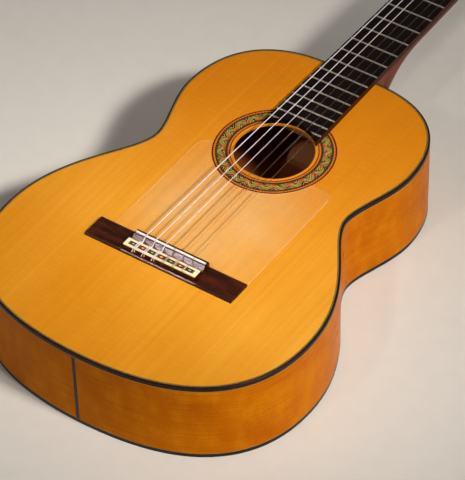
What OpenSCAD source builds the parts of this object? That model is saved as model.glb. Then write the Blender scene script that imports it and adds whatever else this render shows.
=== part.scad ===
// Classical guitar lying on its back: +Y runs from the tail to the head, +X to the treble side,
// +Z out of the soundboard. The origin is under the middle of the whole length, on the back's plane.

/* [Strings] */
// Vibrating length of the strings, from saddle to nut
scale_length = 650; // [640:1:660]
// Spread of the two outer strings at the saddle
string_spread_saddle = 57.5; // [54:0.5:60]
// Spread of the two outer strings at the nut
string_spread_nut = 41.5; // [39:0.5:44]
// Diameters of the strings, first (treble) to sixth (bass)
string_diameters = [0.71, 0.82, 1.02, 0.74, 0.89, 1.09];
// Free room round a string where it passes another piece
string_clearance = 0.15; // [0.1:0.05:0.2]
// Turns of string wound on a roller
winding_turns = 2; // [1:1:3]
// Free gap between neighbouring turns on a roller
winding_gap = 0.45; // [0.42:0.01:0.6]

/* [Body outline] */
// Distance from the saddle to the tail end of the body
saddle_to_tail = 160; // [154:1:168]
// Width of the lower bout
lower_bout_width = 360; // [340:1:380]
// Widest place of the lower bout, measured from the tail
lower_bout_from_tail = 136; // [128:1:144]
// Width of the waist
waist_width = 233; // [220:1:246]
// Narrowest place of the waist, measured from the tail
waist_from_tail = 297; // [290:1:304]
// Width of the upper bout
upper_bout_width = 272; // [260:1:284]
// Widest place of the upper bout, measured from the tail
upper_bout_from_tail = 383; // [378:1:390]
// Reach of the flat curve at the tail
tail_reach = 129; // [110:1:140]
// Reach of the lower bout's curve towards the tail
lower_bout_reach_down = 81; // [70:1:90]
// Reach of the lower bout's curve towards the waist
lower_bout_reach_up = 84; // [74:1:92]
// Reach of the waist's curve towards the tail
waist_reach_down = 35; // [28:1:44]
// Reach of the waist's curve towards the neck
waist_reach_up = 22; // [18:1:28]
// Reach of the upper bout's curve towards the waist
upper_bout_reach_down = 32; // [26:1:38]
// Reach of the upper bout's curve towards the neck
upper_bout_reach_up = 73; // [64:1:80]
// Reach of the shoulder's curve beside the neck
shoulder_reach = 56; // [48:1:64]

/* [Body box] */
// Depth of the body over both plates
body_depth = 95; // [88:1:102]
// Thickness of the soundboard
top_thickness = 2.5; // [2.2:0.1:3]
// Thickness of the back
back_thickness = 2.5; // [2.2:0.1:3]
// Thickness of the sides and of the bindings that stand on them
side_thickness = 2.2; // [1.8:0.1:2.6]
// Height of a binding on the side
binding_height = 4.5; // [4:0.5:6]
// Width of the strip between the sides at the tail
tail_strip_width = 4; // [3:0.5:8]
// Height of a lining
lining_height = 14; // [12:1:16]
// Width of a lining
lining_width = 6; // [5:0.5:7]
// Free line between strips that meet end to end in one group
strip_joint_gap = 0.05; // [0.03:0.01:0.1]
// Width of the tail block
tail_block_width = 70; // [60:1:80]
// Thickness of the tail block along the body
tail_block_thickness = 16; // [12:1:20]

/* [Soundhole and trim] */
// Distance from the saddle to the middle of the soundhole
saddle_to_hole = 179.5; // [177:0.5:182]
// Radius of the soundhole
hole_radius = 41.5; // [40:0.5:43]
// Bare ring of soundboard between the hole and the rosette
rosette_margin = 3; // [2:0.5:4]
// Width of the rosette's ring
rosette_width = 19; // [16:0.5:21]
// Depth of the rosette's inlay
rosette_depth = 1.2; // [0.8:0.1:1.4]
// Thickness of the clear tap plate
tap_plate_thickness = 0.6; // [0.4:0.1:1]
// Tap plate's edge on the bass side, from the centre line
tap_plate_bass = 72; // [66:1:76]
// Tap plate's edge on the treble side, from the centre line
tap_plate_treble = 86; // [80:1:92]
// Tap plate's top edge, from the saddle
tap_plate_top = 157; // [150:1:164]
// Rounding of the tap plate's corners
tap_plate_corner = 12; // [8:1:16]
// Gap between the tap plate and the pieces that it is cut round
tap_plate_gap = 0.4; // [0.2:0.1:1]

/* [Braces] */
// Height of the cross bars under the soundboard
harmonic_bar_height = 16; // [13:1:18]
// Width of the cross bars under the soundboard
harmonic_bar_width = 8; // [6:0.5:9]
// Distance from the soundhole's edge to the middle of a cross bar
harmonic_bar_from_hole = 14; // [11:0.5:18]
// Height of the fan struts
fan_height = 5; // [4:0.5:6]
// Width of the fan struts
fan_width = 6; // [4:0.5:7]
// Sideways step between fan struts at the soundhole end
fan_step_near = 15; // [13:0.5:17]
// Sideways step between fan struts at the tail end
fan_step_far = 37; // [34:0.5:40]
// Height of the back's cross bars
back_bar_height = 15; // [12:1:17]
// Width of the back's cross bars
back_bar_width = 8; // [6:0.5:9]
// Places of the back's cross bars, from the tail
back_bars_from_tail = [110, 240, 365];
// Width of the strip along the back's middle joint
back_strip_width = 16; // [12:1:20]
// Thickness of the strip along the back's middle joint
back_strip_thickness = 2.5; // [2:0.5:3]

/* [Neck and fingerboard] */
// Width of the fingerboard at the nut
fingerboard_width_nut = 50; // [48:0.5:52]
// Width of the fingerboard at the body joint
fingerboard_width_joint = 59.5; // [58:0.5:62]
// Thickness of the fingerboard
fingerboard_thickness = 6.5; // [5.5:0.1:7.5]
// Gap from the soundhole's edge to the fingerboard's end
fingerboard_end_gap = 1; // [0.5:0.1:2]
// Number of frets
fret_count = 19; // [17:1:19]
// Width of a fret's crown
fret_width = 2.4; // [2:0.1:2.8]
// Height of a fret's crown
fret_height = 1.2; // [0.9:0.05:1.3]
// Depth of a fret's tang in the fingerboard
fret_tang_depth = 1.6; // [1.2:0.1:2]
// Thickness of a fret's tang
fret_tang_width = 0.5; // [0.4:0.05:0.6]
// Free room beside a fret's tang in its slot
fret_tang_clearance = 0.03; // [0.02:0.01:0.05]
// Depth of the neck under the fingerboard at the nut
neck_depth_nut = 16; // [15:0.5:18]
// Depth of the neck under the fingerboard where the heel begins
neck_depth_heel = 18; // [17:0.5:20]
// Length of the heel's curve, from the body
heel_length = 84; // [74:1:94]
// Length of the heel cap, from the body
heel_cap_length = 20; // [16:1:26]
// Thickness of the heel cap
heel_cap_thickness = 2.5; // [2:0.5:3.5]
// Share of the heel's width that is carved away at the cap
heel_narrowing = 0.5; // [0.4:0.05:0.6]
// Width of the neck block inside the body
neck_block_width = 74; // [66:1:82]
// Length of the neck block inside the body
neck_block_length = 30; // [24:1:36]
// Length of the neck's foot along the back
neck_foot_length = 66; // [58:1:72]
// Height of the neck's foot
neck_foot_height = 15; // [12:1:18]
// Width of the wood between the slots that hold the sides
side_slot_web = 22; // [18:1:26]

/* [Nut, bridge and saddle] */
// Thickness of the nut along the string
nut_thickness = 5; // [4:0.5:6]
// Height of the string slots above the fret crowns at the nut
nut_rise = 0.6; // [0.4:0.1:0.9]
// Height of the nut above its string slots
nut_crest = 1; // [0.7:0.1:1.4]
// Length of the bridge
bridge_length = 174; // [166:1:190]
// Width of the bridge along the string
bridge_width = 28.5; // [28:0.25:30]
// Distance from the saddle line to the bridge's front edge
bridge_front = 4.5; // [4.2:0.1:5]
// Thickness of the bridge's wings
bridge_wing_thickness = 3.3; // [2.8:0.1:4]
// Run of the bevel along the bridge's back edge
bridge_bevel_run = 1.6; // [1:0.1:2]
// Drop of the bevel along the bridge's back edge
bridge_bevel_drop = 1.5; // [0.8:0.1:2]
// Length of the bridge's middle block
bridge_block_length = 85; // [82:0.5:90]
// Height of the walls that hold the saddle
saddle_wall_height = 9.1; // [8.6:0.1:9.4]
// Thickness of the wall behind the saddle at its top
saddle_wall = 1; // [0.8:0.1:1.4]
// Length of the saddle
saddle_length = 82; // [78:0.5:82]
// Thickness of the saddle
saddle_thickness = 2.4; // [2:0.1:2.8]
// Height of the saddle's crest above the soundboard
saddle_height = 10.5; // [10.3:0.1:11.4]
// Height of the saddle slot's floor above the soundboard
saddle_slot_floor = 2.2; // [1.8:0.1:2.6]
// Free room beside the saddle in its slot
saddle_clearance = 0.05; // [0.02:0.01:0.08]
// Distance from the saddle line to the tie block's front face
tie_block_front = 10.5; // [10:0.25:11]
// Width of the tie block along the string
tie_block_width = 10.4; // [10:0.2:11]
// Height of the tie block with its trim
tie_block_height = 9.4; // [9:0.1:9.8]
// Thickness of the bone frame on the tie block
tie_trim_thickness = 1.2; // [1:0.1:1.6]
// Width of the bone frame's long strips
tie_trim_width = 2.7; // [2.2:0.1:3]
// Width of the bone frame's ends
tie_trim_end = 3.5; // [3:0.1:4]
// Depth of the mosaic's bed below the bone frame's top
mosaic_depth = 0.4; // [0.3:0.1:0.6]
// Height of the string holes above the soundboard
tie_hole_height = 5; // [4.8:0.1:5.2]
// Diameter of the string holes in the tie block
tie_hole_diameter = 2; // [1.8:0.1:2.2]
// Sideways spread of a tied string's two strands on top of the tie block
tie_loop_spread = 1.8; // [1.6:0.1:3]
// Sideways spread of the same strands where they pass under the string
tie_knot_spread = 3.4; // [3.2:0.1:4]

/* [Headstock] */
// Backward tilt of the head
head_tilt = 15; // [12:0.5:17]
// Width of the head at the tuners
head_width = 70; // [67:0.5:74]
// Thickness of the head's wood
head_thickness = 18; // [17:0.5:20]
// Thickness of the head's face veneer
head_plate_thickness = 2.5; // [2:0.25:3]
// Length of the flare from the neck's width to the head's width
head_flare_length = 22; // [19:0.5:23]
// Distance from the nut to the joint between neck and head
head_joint = 14; // [11:0.5:16]
// Height of the crest above the straight sides
crest_height = 44; // [36:1:50]
// Width of the crest at its neck
crest_width = 48; // [42:1:54]
// Width of a string slot in the head
head_slot_width = 16; // [15.5:0.25:17]
// Width of the bar between the two slots
head_bar_width = 15; // [14:0.25:16]
// Length of the ramp at the nut end of a slot
ramp_length = 22.5; // [22:0.25:23]
// Depth of the ramp at the slot
ramp_depth = 6; // [5:0.5:7]

/* [Tuning machines] */
// Distance from the nut to the first roller
first_roller = 47; // [45:0.5:50]
// Spacing of the rollers
roller_spacing = 35; // [34:0.25:37]
// Radius of a roller
roller_radius = 5; // [4.6:0.1:5.2]
// Radial running clearance of the turning shafts
shaft_clearance = 0.08; // [0.05:0.01:0.1]
// Diameter of the string hole in a roller
roller_hole = 2.4; // [2.2:0.1:2.6]
// Gap that keeps still string clear of a turning roller
roller_string_gap = 0.3; // [0.25:0.05:0.4]
// Depth to which a roller's tip enters the bar between the slots
roller_tip_depth = 6; // [5:0.25:6.5]
// Free gap at the ends of the turning pieces
end_play = 0.25; // [0.2:0.05:0.4]
// Thickness of a tuner plate
tuner_plate_thickness = 1.3; // [1:0.1:1.6]
// Width of a tuner plate
tuner_plate_width = 14; // [13.5:0.25:16]
// Length of a tuner plate past the outer rollers
tuner_plate_overhang = 21; // [20:0.5:22]
// Distance of the screws from the ends of a tuner plate
tuner_screw_from_end = 4.5; // [4:0.25:5]
// Distance of the inner screws behind their roller
tuner_screw_from_roller = 14; // [12:0.5:16]
// Radius of a roller's journal in the plate
journal_radius = 3; // [2.8:0.1:3.2]
// Distance that a gear stands off its plate
gear_standoff = 2.8; // [2.6:0.1:3.2]
// Number of teeth on a gear
gear_teeth = 14; // [14:1:16]
// Axial pitch of the worm's thread
worm_pitch = 2.4; // [2.3:0.05:2.5]
// Thickness of a gear
gear_thickness = 2.6; // [2.2:0.1:2.8]
// Side of the square on which a gear sits
gear_square = 4; // [3.6:0.1:4.4]
// Pitch radius of the worm
worm_pitch_radius = 2.5; // [2.4:0.05:2.6]
// Height of a tooth or thread above its pitch line
tooth_addendum = 0.75; // [0.7:0.01:0.8]
// Depth of a tooth or thread below its pitch line
tooth_dedendum = 0.95; // [0.9:0.01:1]
// Share of the pitch that a tooth or thread fills at its pitch line
tooth_share = 0.36; // [0.32:0.01:0.38]
// Slope angle of the flanks of a tooth or thread
tooth_angle = 20; // [18:1:22]
// Length of the worm's thread
worm_length = 8; // [7.6:0.1:8.6]
// Radius of the worm's shaft
worm_shaft_radius = 1.4; // [1.3:0.05:1.45]
// Radius of a bearing ear round the worm's shaft
ear_radius = 2.8; // [2.6:0.1:2.9]
// Thickness of a bearing ear
ear_thickness = 1.3; // [1.1:0.1:1.5]
// Free gap between the head's back and a button
button_clearance = 1.6; // [1.2:0.1:3]
// Height of a button along its shaft
button_height = 11.5; // [10:0.5:13]
// Radius of a button's wings
button_radius = 8; // [7:0.25:8.5]
// Thickness of a button across its wings
button_thickness = 8; // [7:0.25:9]
// Radius of the wood screws' heads
screw_head_radius = 2.1; // [1.9:0.1:2.3]
// Height of the wood screws' heads
screw_head_height = 1.2; // [1:0.1:1.4]
// Radius of the wood screws' shanks
screw_shank_radius = 1; // [0.9:0.05:1.1]
// Length of the wood screws' shanks
screw_length = 9; // [7:0.5:10]

/* [Hidden] */
$fn = 64;
eps = 0.01;
far = 2000;
outline_steps = 20;
neck_steps = 20;
heel_steps = 9;
transition_steps = 4;
tube_sides = 6;
loop_rings = 24;
wrap_step = 20;
thread_slices_per_turn = 12;
crest_steps = 9;
flare_steps = 6;
corner_step = 45;
thread_step = 30;
overcut = 1;
start_normal = [0.6, 0.1, 0.8];
string_count = 6;
treble_count = string_count / 2;

// Heights
z_top = body_depth;
z_strings_nut = z_top + fingerboard_thickness + fret_height + nut_rise;

// Head plane: the face of the veneer starts at the nut's back edge
tuner_plate_start = first_roller - tuner_plate_overhang;
last_roller = first_roller + 2 * roller_spacing;
tuner_plate_end = last_roller + tuner_plate_overhang;
crest_start = tuner_plate_end + tuner_screw_from_end;
head_length = crest_start + crest_height;
z_head = z_top + head_plate_thickness / cos(head_tilt);

// Places along the length
y_saddle = (saddle_to_tail - scale_length - nut_thickness - head_length * cos(head_tilt)) / 2;
y_tail = y_saddle - saddle_to_tail;
y_nut = y_saddle + scale_length;
y_head = y_nut + nut_thickness;
y_joint = y_nut - scale_length / 2;
y_inner_joint = y_joint - side_thickness;
y_hole = y_saddle + saddle_to_hole;
y_lower = y_tail + lower_bout_from_tail;
y_waist = y_tail + waist_from_tail;
y_upper = y_tail + upper_bout_from_tail;

// Half widths
lower_half = lower_bout_width / 2;
waist_half = waist_width / 2;
upper_half = upper_bout_width / 2;
joint_half = fingerboard_width_joint / 2;
shoulder_margin = 2;
shoulder_flat = joint_half + shoulder_margin;
head_half = head_width / 2;
bar_half = head_bar_width / 2;
slot_middle = bar_half + head_slot_width / 2;

// Trim radii
rosette_inner = hole_radius + rosette_margin;
rosette_outer = rosette_inner + rosette_width;
fingerboard_cut = hole_radius + fingerboard_end_gap;

// Bridge
bridge_back = bridge_width - bridge_front;
tie_block_back = tie_block_front + tie_block_width;
saddle_half_slot = saddle_thickness / 2 + saddle_clearance;
bridge_edge = 0.8;
channel_depth = 0.5;
channel_floor = 1.5;
bridge_channel = bridge_wing_thickness - channel_depth;
nut_slot_slope = 2 * head_tilt + 5;

// Struts under the soundboard
fan_bar_gap = 5;
fan_tail_gap = 24;
fan_end_step = 12;
closing_near = 10;
closing_far = 120;
closing_drop = 20;

// Crest of the head
crest_flank = 3;
crest_shoulder = 0.85;

// Tied ends and wound ends of the strings
tie_tail_turn = 0.9;
tie_tail_reach = 1.6;
tie_tail_drop = 3.4;
tie_dip = 1.1;
tie_entry = 1.6;
tie_hole_exit = 0.5;
saddle_break = 0.5;
wrap_places = [11.5, 8, 5.5];
wrap_angle = 160;
coil_start = 200;
coil_dive = 8;
winding_end_depth = 1;

// Gear and worm
gear_pitch_radius = gear_teeth * worm_pitch / (2 * PI);
mesh_distance = gear_pitch_radius + worm_pitch_radius;
tuner_w = -(head_plate_thickness + head_thickness / 2);
gear_x = head_half + tuner_plate_thickness + gear_standoff;
worm_x = gear_x + gear_thickness / 2;
ear_w = worm_length / 2 + end_play;
button_w = -(head_plate_thickness + head_thickness + button_clearance);
gear_screw_radius = 0.9;
gear_screw_head = 2.4;
gear_screw_height = 1.5;
gear_screw_depth = 4;
worm_root_fill = 0.2;
worm_end = 1;
screw_rim_share = 0.6;
screw_dome_share = 0.8;

// Curves and outlines

function bezier(c, t) =
  pow(1 - t, 3) * c[0] + 3 * t * pow(1 - t, 2) * c[1] + 3 * t * t * (1 - t) * c[2] + t * t * t * c[3];

function bezier_slope(c, t) =
  pow(1 - t, 2) * (c[1] - c[0]) + 2 * t * (1 - t) * (c[2] - c[1]) + t * t * (c[3] - c[2]);

function inset_point(c, t, d) =
  let (s = bezier_slope(c, t), n = [-s.y, s.x] / norm(s))
  bezier(c, t) + d * n;

body_curves = [
  [[0, y_tail], [tail_reach, y_tail],
   [lower_half, y_lower - lower_bout_reach_down], [lower_half, y_lower]],
  [[lower_half, y_lower], [lower_half, y_lower + lower_bout_reach_up],
   [waist_half, y_waist - waist_reach_down], [waist_half, y_waist]],
  [[waist_half, y_waist], [waist_half, y_waist + waist_reach_up],
   [upper_half, y_upper - upper_bout_reach_down], [upper_half, y_upper]],
  [[upper_half, y_upper], [upper_half, y_upper + upper_bout_reach_up],
   [shoulder_flat + shoulder_reach, y_joint], [shoulder_flat, y_joint]],
];

function half_outline(d) = [
  for (c = body_curves)
    for (k = [0 : outline_steps - 1])
      inset_point(c, k / outline_steps, d),
  inset_point(body_curves[3], 1, d),
];

function outline(d) =
  let (h = half_outline(d))
  concat(h, [for (i = [len(h) - 1 : -1 : 1]) [-h[i].x, h[i].y]]);

function body_half_width(y) = lookup(y, [for (p = half_outline(0)) [p.y, p.x]]);

function fingerboard_half(y) =
  (fingerboard_width_nut
   + (fingerboard_width_joint - fingerboard_width_nut) * (y_nut - y) / (y_nut - y_joint)) / 2;

function head_flare(u) =
  let (t = min(max(u / head_flare_length, 0), 1), s = t * t * (3 - 2 * t))
  fingerboard_half(y_head) + (head_half - fingerboard_half(y_head)) * s;

function head_point(p) = [
  p.x,
  y_head + p.y * cos(head_tilt) + p.z * sin(head_tilt),
  z_head - p.y * sin(head_tilt) + p.z * cos(head_tilt),
];

function fret_y(n) = y_saddle + scale_length * pow(2, -n / 12);

// Strings count from 1 (treble) to 6 (bass)
function string_radius(n) = string_diameters[n - 1] / 2;
function string_x(n, spread) = spread * ((string_count + 1) / 2 - n) / (string_count - 1);
function string_side(n) = n <= treble_count ? 1 : -1;
function tuner_row(n) = n <= treble_count ? n - 1 : string_count - n;
function roller_u(n) = first_roller + roller_spacing * tuner_row(n);

// Sweeps

function unit(v) = v / norm(v);

function directions(p) = [
  for (i = [0 : len(p) - 1])
    unit(i == 0 ? p[1] - p[0]
         : i == len(p) - 1 ? p[i] - p[i - 1]
         : unit(p[i] - p[i - 1]) + unit(p[i + 1] - p[i])),
];

function carried(d, n, i = 0) =
  i == len(d) ? []
  : let (m = unit(n - (n * d[i]) * d[i]))
    concat([m], carried(d, m, i + 1));

function tube_points(p, r) =
  let (d = directions(p), n = carried(d, start_normal))
  [for (i = [0 : len(p) - 1])
    let (b = cross(d[i], n[i]))
    for (k = [0 : tube_sides - 1])
      p[i] + r * (cos(360 * k / tube_sides) * n[i] + sin(360 * k / tube_sides) * b)];

function skin_faces(rings, sides) = concat(
  [for (i = [0 : rings - 2])
    for (k = [0 : sides - 1])
      for (f = [[0, 1], [1, 0]])
        let (a = i * sides + k, b = i * sides + (k + 1) % sides)
        f[0] == 0 ? [a, a + sides, b] : [b, a + sides, b + sides]],
  [for (k = [1 : sides - 2]) [0, k, k + 1]],
  [for (k = [1 : sides - 2])
    let (e = (rings - 1) * sides)
    [e, e + k + 1, e + k]]);

module tube(points, r) {
  polyhedron(tube_points(points, r), skin_faces(len(points), tube_sides), convexity = 10);
}

module along_x(x0, length) {
  translate([x0, 0, 0])
    rotate([90, 0, 90])
      linear_extrude(length)
        children();
}

module shaft_x(x0, x1, r) {
  translate([x0, 0, 0])
    rotate([0, 90, 0])
      cylinder(h = x1 - x0, r = r);
}

module level(z0, z1) {
  translate([0, 0, z0])
    linear_extrude(z1 - z0)
      children();
}

module block(low, high) {
  translate(low)
    cube(high - low);
}

module rect(low, high) {
  translate(low)
    square(high - low);
}

module head_frame() {
  translate([0, y_head, z_head])
    rotate([-head_tilt, 0, 0])
      children();
}

module on_side(side) {
  head_frame()
    mirror([side < 0 ? 1 : 0, 0, 0])
      children();
}

// Body plates and sides

module body_region(d) {
  polygon(outline(d));
}

module body_ring(d0, d1) {
  difference() {
    body_region(d0);
    body_region(d1);
  }
}

module half_plane(side, gap = 0) {
  rect([side < 0 ? -far : gap / 2, -far], [side < 0 ? -gap / 2 : far, far]);
}

module at_hole() {
  translate([0, y_hole])
    children();
}

module soundboard() {
  color([0.83, 0.53, 0.18])
    difference() {
      level(z_top - top_thickness, z_top)
        difference() {
          body_region(side_thickness);
          at_hole()
            circle(hole_radius);
        }
      level(z_top - rosette_depth, z_top + eps)
        rosette_ring();
    }
}

module rosette_ring() {
  at_hole()
    difference() {
      circle(rosette_outer);
      circle(rosette_inner);
    }
}

module rosette() {
  color([0.33, 0.33, 0.15])
    level(z_top - rosette_depth, z_top)
      rosette_ring();
}

module back() {
  color([0.72, 0.42, 0.16])
    level(0, back_thickness)
      body_region(side_thickness);
}

module side_strip(side) {
  color([0.76, 0.45, 0.16])
    level(binding_height, z_top - binding_height)
      difference() {
        intersection() {
          body_ring(0, side_thickness);
          half_plane(side);
        }
        rect([-side_slot_web / 2, y_upper], [side_slot_web / 2, y_joint + eps]);
        rect([-tail_strip_width / 2, y_tail - eps], [tail_strip_width / 2, y_lower]);
      }
}

module side_bass() {
  side_strip(-1);
}

module side_treble() {
  side_strip(1);
}

module bindings() {
  color([0.15, 0.08, 0.07]) {
    for (side = [-1, 1]) {
      level(z_top - binding_height, z_top)
        difference() {
          intersection() {
            body_ring(0, side_thickness);
            half_plane(side, strip_joint_gap);
          }
          rect([-joint_half, y_upper], [joint_half, y_joint + eps]);
        }
      level(0, binding_height)
        intersection() {
          body_ring(0, side_thickness);
          half_plane(side, strip_joint_gap);
        }
    }
    level(binding_height + strip_joint_gap, z_top - binding_height - strip_joint_gap)
      intersection() {
        body_ring(0, side_thickness);
        rect([-tail_strip_width / 2, y_tail - eps], [tail_strip_width / 2, y_lower]);
      }
  }
}

module tap_plate() {
  low = [-tap_plate_bass, y_saddle + bridge_front + tap_plate_gap];
  high = [tap_plate_treble, y_saddle + tap_plate_top];
  r = tap_plate_corner;
  color([0.93, 0.78, 0.5, 0.4])
    level(z_top, z_top + tap_plate_thickness)
      difference() {
        union() {
          rect(low, [high.x, high.y - r]);
          rect([low.x + r, low.y], [high.x - r, high.y]);
          translate([low.x + r, high.y - r])
            circle(r);
          translate([high.x - r, high.y - r])
            circle(r);
        }
        at_hole()
          circle(rosette_outer + tap_plate_gap);
      }
}

// Inside of the body

module tail_block() {
  color([0.7, 0.5, 0.3])
    level(back_thickness, z_top - top_thickness)
      intersection() {
        body_region(side_thickness);
        rect([-tail_block_width / 2, y_tail - eps],
             [tail_block_width / 2, y_tail + side_thickness + tail_block_thickness]);
      }
}

module lining_ring(side) {
  difference() {
    intersection() {
      body_ring(side_thickness, side_thickness + lining_width);
      half_plane(side);
    }
    rect([-neck_block_width / 2, y_upper], [neck_block_width / 2, y_joint]);
    rect([-tail_block_width / 2, y_tail - eps], [tail_block_width / 2, y_lower]);
  }
}

module linings() {
  color([0.78, 0.6, 0.38])
    for (side = [-1, 1]) {
      level(back_thickness, back_thickness + lining_height)
        lining_ring(side);
      level(z_top - top_thickness - lining_height, z_top - top_thickness)
        lining_ring(side);
    }
}

// A cross bar seen along Y: full height in the middle, scooped towards both ends
module bar_profile(half, height) {
  end_height = height / 3;
  scoop = half / 3;
  polygon([
    [-half, 0], [half, 0], [half, end_height], [half - scoop, height],
    [scoop - half, height], [-half, end_height],
  ]);
}

module cross_bar(y, width, height, up) {
  half = body_half_width(y) + width;
  intersection() {
    translate([0, y + width / 2, up ? back_thickness : z_top - top_thickness])
      mirror([0, 0, up ? 0 : 1])
        rotate([90, 0, 0])
          linear_extrude(width)
            bar_profile(half, height);
    level(0, z_top)
      body_region(side_thickness + lining_width);
  }
}

module strut(from, to) {
  run = to - from;
  translate([from.x, from.y, z_top - top_thickness])
    rotate([0, 0, atan2(run.y, run.x)])
      along_x(0, norm(run))
        polygon([
          [-fan_width / 2, 0], [-fan_width / 2, -fan_height / 2], [-fan_width / 6, -fan_height],
          [fan_width / 6, -fan_height], [fan_width / 2, -fan_height / 2], [fan_width / 2, 0],
        ]);
}

module top_braces() {
  bar_offset = hole_radius + harmonic_bar_from_hole;
  fan_top = y_hole - bar_offset - harmonic_bar_width / 2 - fan_bar_gap;
  fan_end = y_tail + side_thickness + tail_block_thickness + fan_tail_gap;
  color([0.85, 0.68, 0.42]) {
    for (s = [-1, 1])
      cross_bar(y_hole + s * bar_offset, harmonic_bar_width, harmonic_bar_height, false);
    for (i = [-3 : 3])
      strut([i * fan_step_near, fan_top], [i * fan_step_far, fan_end + abs(i) * fan_end_step]);
    for (s = [-1, 1])
      strut([s * closing_near, fan_end - closing_drop], [s * closing_far, fan_end + fan_end_step]);
  }
}

module back_braces() {
  bars = [for (d = back_bars_from_tail) y_tail + d];
  starts = concat([y_tail + side_thickness + tail_block_thickness], [for (y = bars) y + back_bar_width / 2]);
  ends = concat([for (y = bars) y - back_bar_width / 2], [y_inner_joint - neck_foot_length]);
  color([0.82, 0.64, 0.4]) {
    for (y = bars)
      cross_bar(y, back_bar_width, back_bar_height, true);
    for (i = [0 : len(starts) - 1])
      block([-back_strip_width / 2, starts[i] + strip_joint_gap, back_thickness],
            [back_strip_width / 2, ends[i] - strip_joint_gap, back_thickness + back_strip_thickness]);
  }
}

// Neck: one carved form from the heel to the head joint

function neck_section(half, depth, fullness, narrowing) = [
  for (i = [0 : neck_steps])
    let (
      a = 180 * i / neck_steps,
      d = depth * pow(max(sin(a), 0), 2 / fullness),
      x = half * sign(cos(a)) * pow(abs(cos(a)), 2 / fullness)
    )
    [x * (1 - narrowing * d / body_depth), d],
];

function placed_section(section, y, z, tilt) =
  [for (p = section) [p.x, y - p.y * sin(tilt), z - p.y * cos(tilt)]];

shaft_fullness = 2.3;
heel_fullness = 3.2;
head_fullness = 9;
heel_run_on = 18;
heel_depth = body_depth + heel_run_on;

function heel_station(angle) =
  let (
    y = y_joint + heel_length - (heel_length - heel_cap_length) * sin(angle),
    k = 1 - cos(angle),
    depth = neck_depth_heel + (heel_depth - neck_depth_heel) * k,
    fullness = shaft_fullness + (heel_fullness - shaft_fullness) * k
  )
  placed_section(neck_section(fingerboard_half(y), depth, fullness, heel_narrowing * k), y, z_top, 0);

function transition_station(t) =
  let (
    u = head_plate_thickness * tan(head_tilt) * (1 - t) + head_joint * t,
    o = head_point([0, u, -head_plate_thickness]),
    depth = neck_depth_nut + (head_thickness - neck_depth_nut) * t,
    fullness = shaft_fullness + (head_fullness - shaft_fullness) * t
  )
  placed_section(neck_section(head_flare(u * t), depth, fullness, 0), o.y, o.z, head_tilt * t);

neck_stations = concat(
  [placed_section(neck_section(joint_half, heel_depth, heel_fullness, heel_narrowing), y_joint, z_top, 0)],
  [for (i = [heel_steps : -1 : 0]) heel_station(90 * i / heel_steps)],
  [for (i = [0 : transition_steps]) transition_station(i / transition_steps)]);

module neck_form() {
  sides = neck_steps + 1;
  polyhedron([for (s = neck_stations) for (p = s) p],
             skin_faces(len(neck_stations), sides), convexity = 6);
}

module neck_foot() {
  intersection() {
    along_x(-neck_block_width / 2, neck_block_width)
      polygon([
        [y_inner_joint, back_thickness],
        [y_inner_joint - neck_foot_length, back_thickness],
        [y_inner_joint - neck_foot_length, back_thickness + neck_foot_height / 2],
        [y_inner_joint - neck_foot_length + neck_foot_height / 2, back_thickness + neck_foot_height],
        [y_inner_joint - neck_block_length, back_thickness + 2 * neck_foot_height],
        [y_inner_joint - neck_block_length, z_top - top_thickness],
        [y_inner_joint, z_top - top_thickness],
      ]);
    level(0, z_top)
      body_region(side_thickness);
  }
}

module neck() {
  lap = heel_cap_length / 4;
  color([0.42, 0.2, 0.12])
    union() {
      intersection() {
        neck_form();
        block([-far, y_tail, heel_cap_thickness], [far, far, z_top + far]);
      }
      block([-side_slot_web / 2, y_inner_joint - lap, binding_height],
            [side_slot_web / 2, y_joint + lap, z_top - binding_height]);
      block([-joint_half, y_inner_joint, z_top - binding_height], [joint_half, y_joint, z_top]);
      neck_foot();
    }
}

module heel_cap() {
  color([0.16, 0.08, 0.07])
    intersection() {
      neck_form();
      block([-far, y_tail, 0], [far, far, heel_cap_thickness]);
    }
}

// Fingerboard, frets and nut

module fingerboard() {
  color([0.09, 0.06, 0.06])
    difference() {
      level(z_top, z_top + fingerboard_thickness)
        difference() {
          polygon([
            [-fingerboard_half(y_nut), y_nut], [-fingerboard_half(y_hole), y_hole],
            [fingerboard_half(y_hole), y_hole], [fingerboard_half(y_nut), y_nut],
          ]);
          at_hole()
            circle(fingerboard_cut);
        }
      for (n = [1 : fret_count])
        block([-far, fret_y(n) - fret_tang_width / 2 - fret_tang_clearance,
               z_top + fingerboard_thickness - fret_tang_depth],
              [far, fret_y(n) + fret_tang_width / 2 + fret_tang_clearance,
               z_top + fingerboard_thickness + eps]);
    }
}

module fret_profile() {
  crown = (pow(fret_width / 2, 2) + pow(fret_height, 2)) / (2 * fret_height);
  intersection() {
    translate([0, fret_height - crown])
      circle(crown);
    rect([-fret_width, 0], [fret_width, fret_width]);
  }
  rect([-fret_tang_width / 2, -fret_tang_depth], [fret_tang_width / 2, eps]);
}

module frets() {
  color([0.62, 0.58, 0.52])
    difference() {
      for (n = [1 : fret_count])
        translate([0, fret_y(n), z_top + fingerboard_thickness])
          along_x(-fingerboard_half(fret_y(n)), 2 * fingerboard_half(fret_y(n)))
            fret_profile();
      translate([0, y_hole, z_top])
        cylinder(h = 2 * fingerboard_thickness, r = fingerboard_cut);
    }
}

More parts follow.
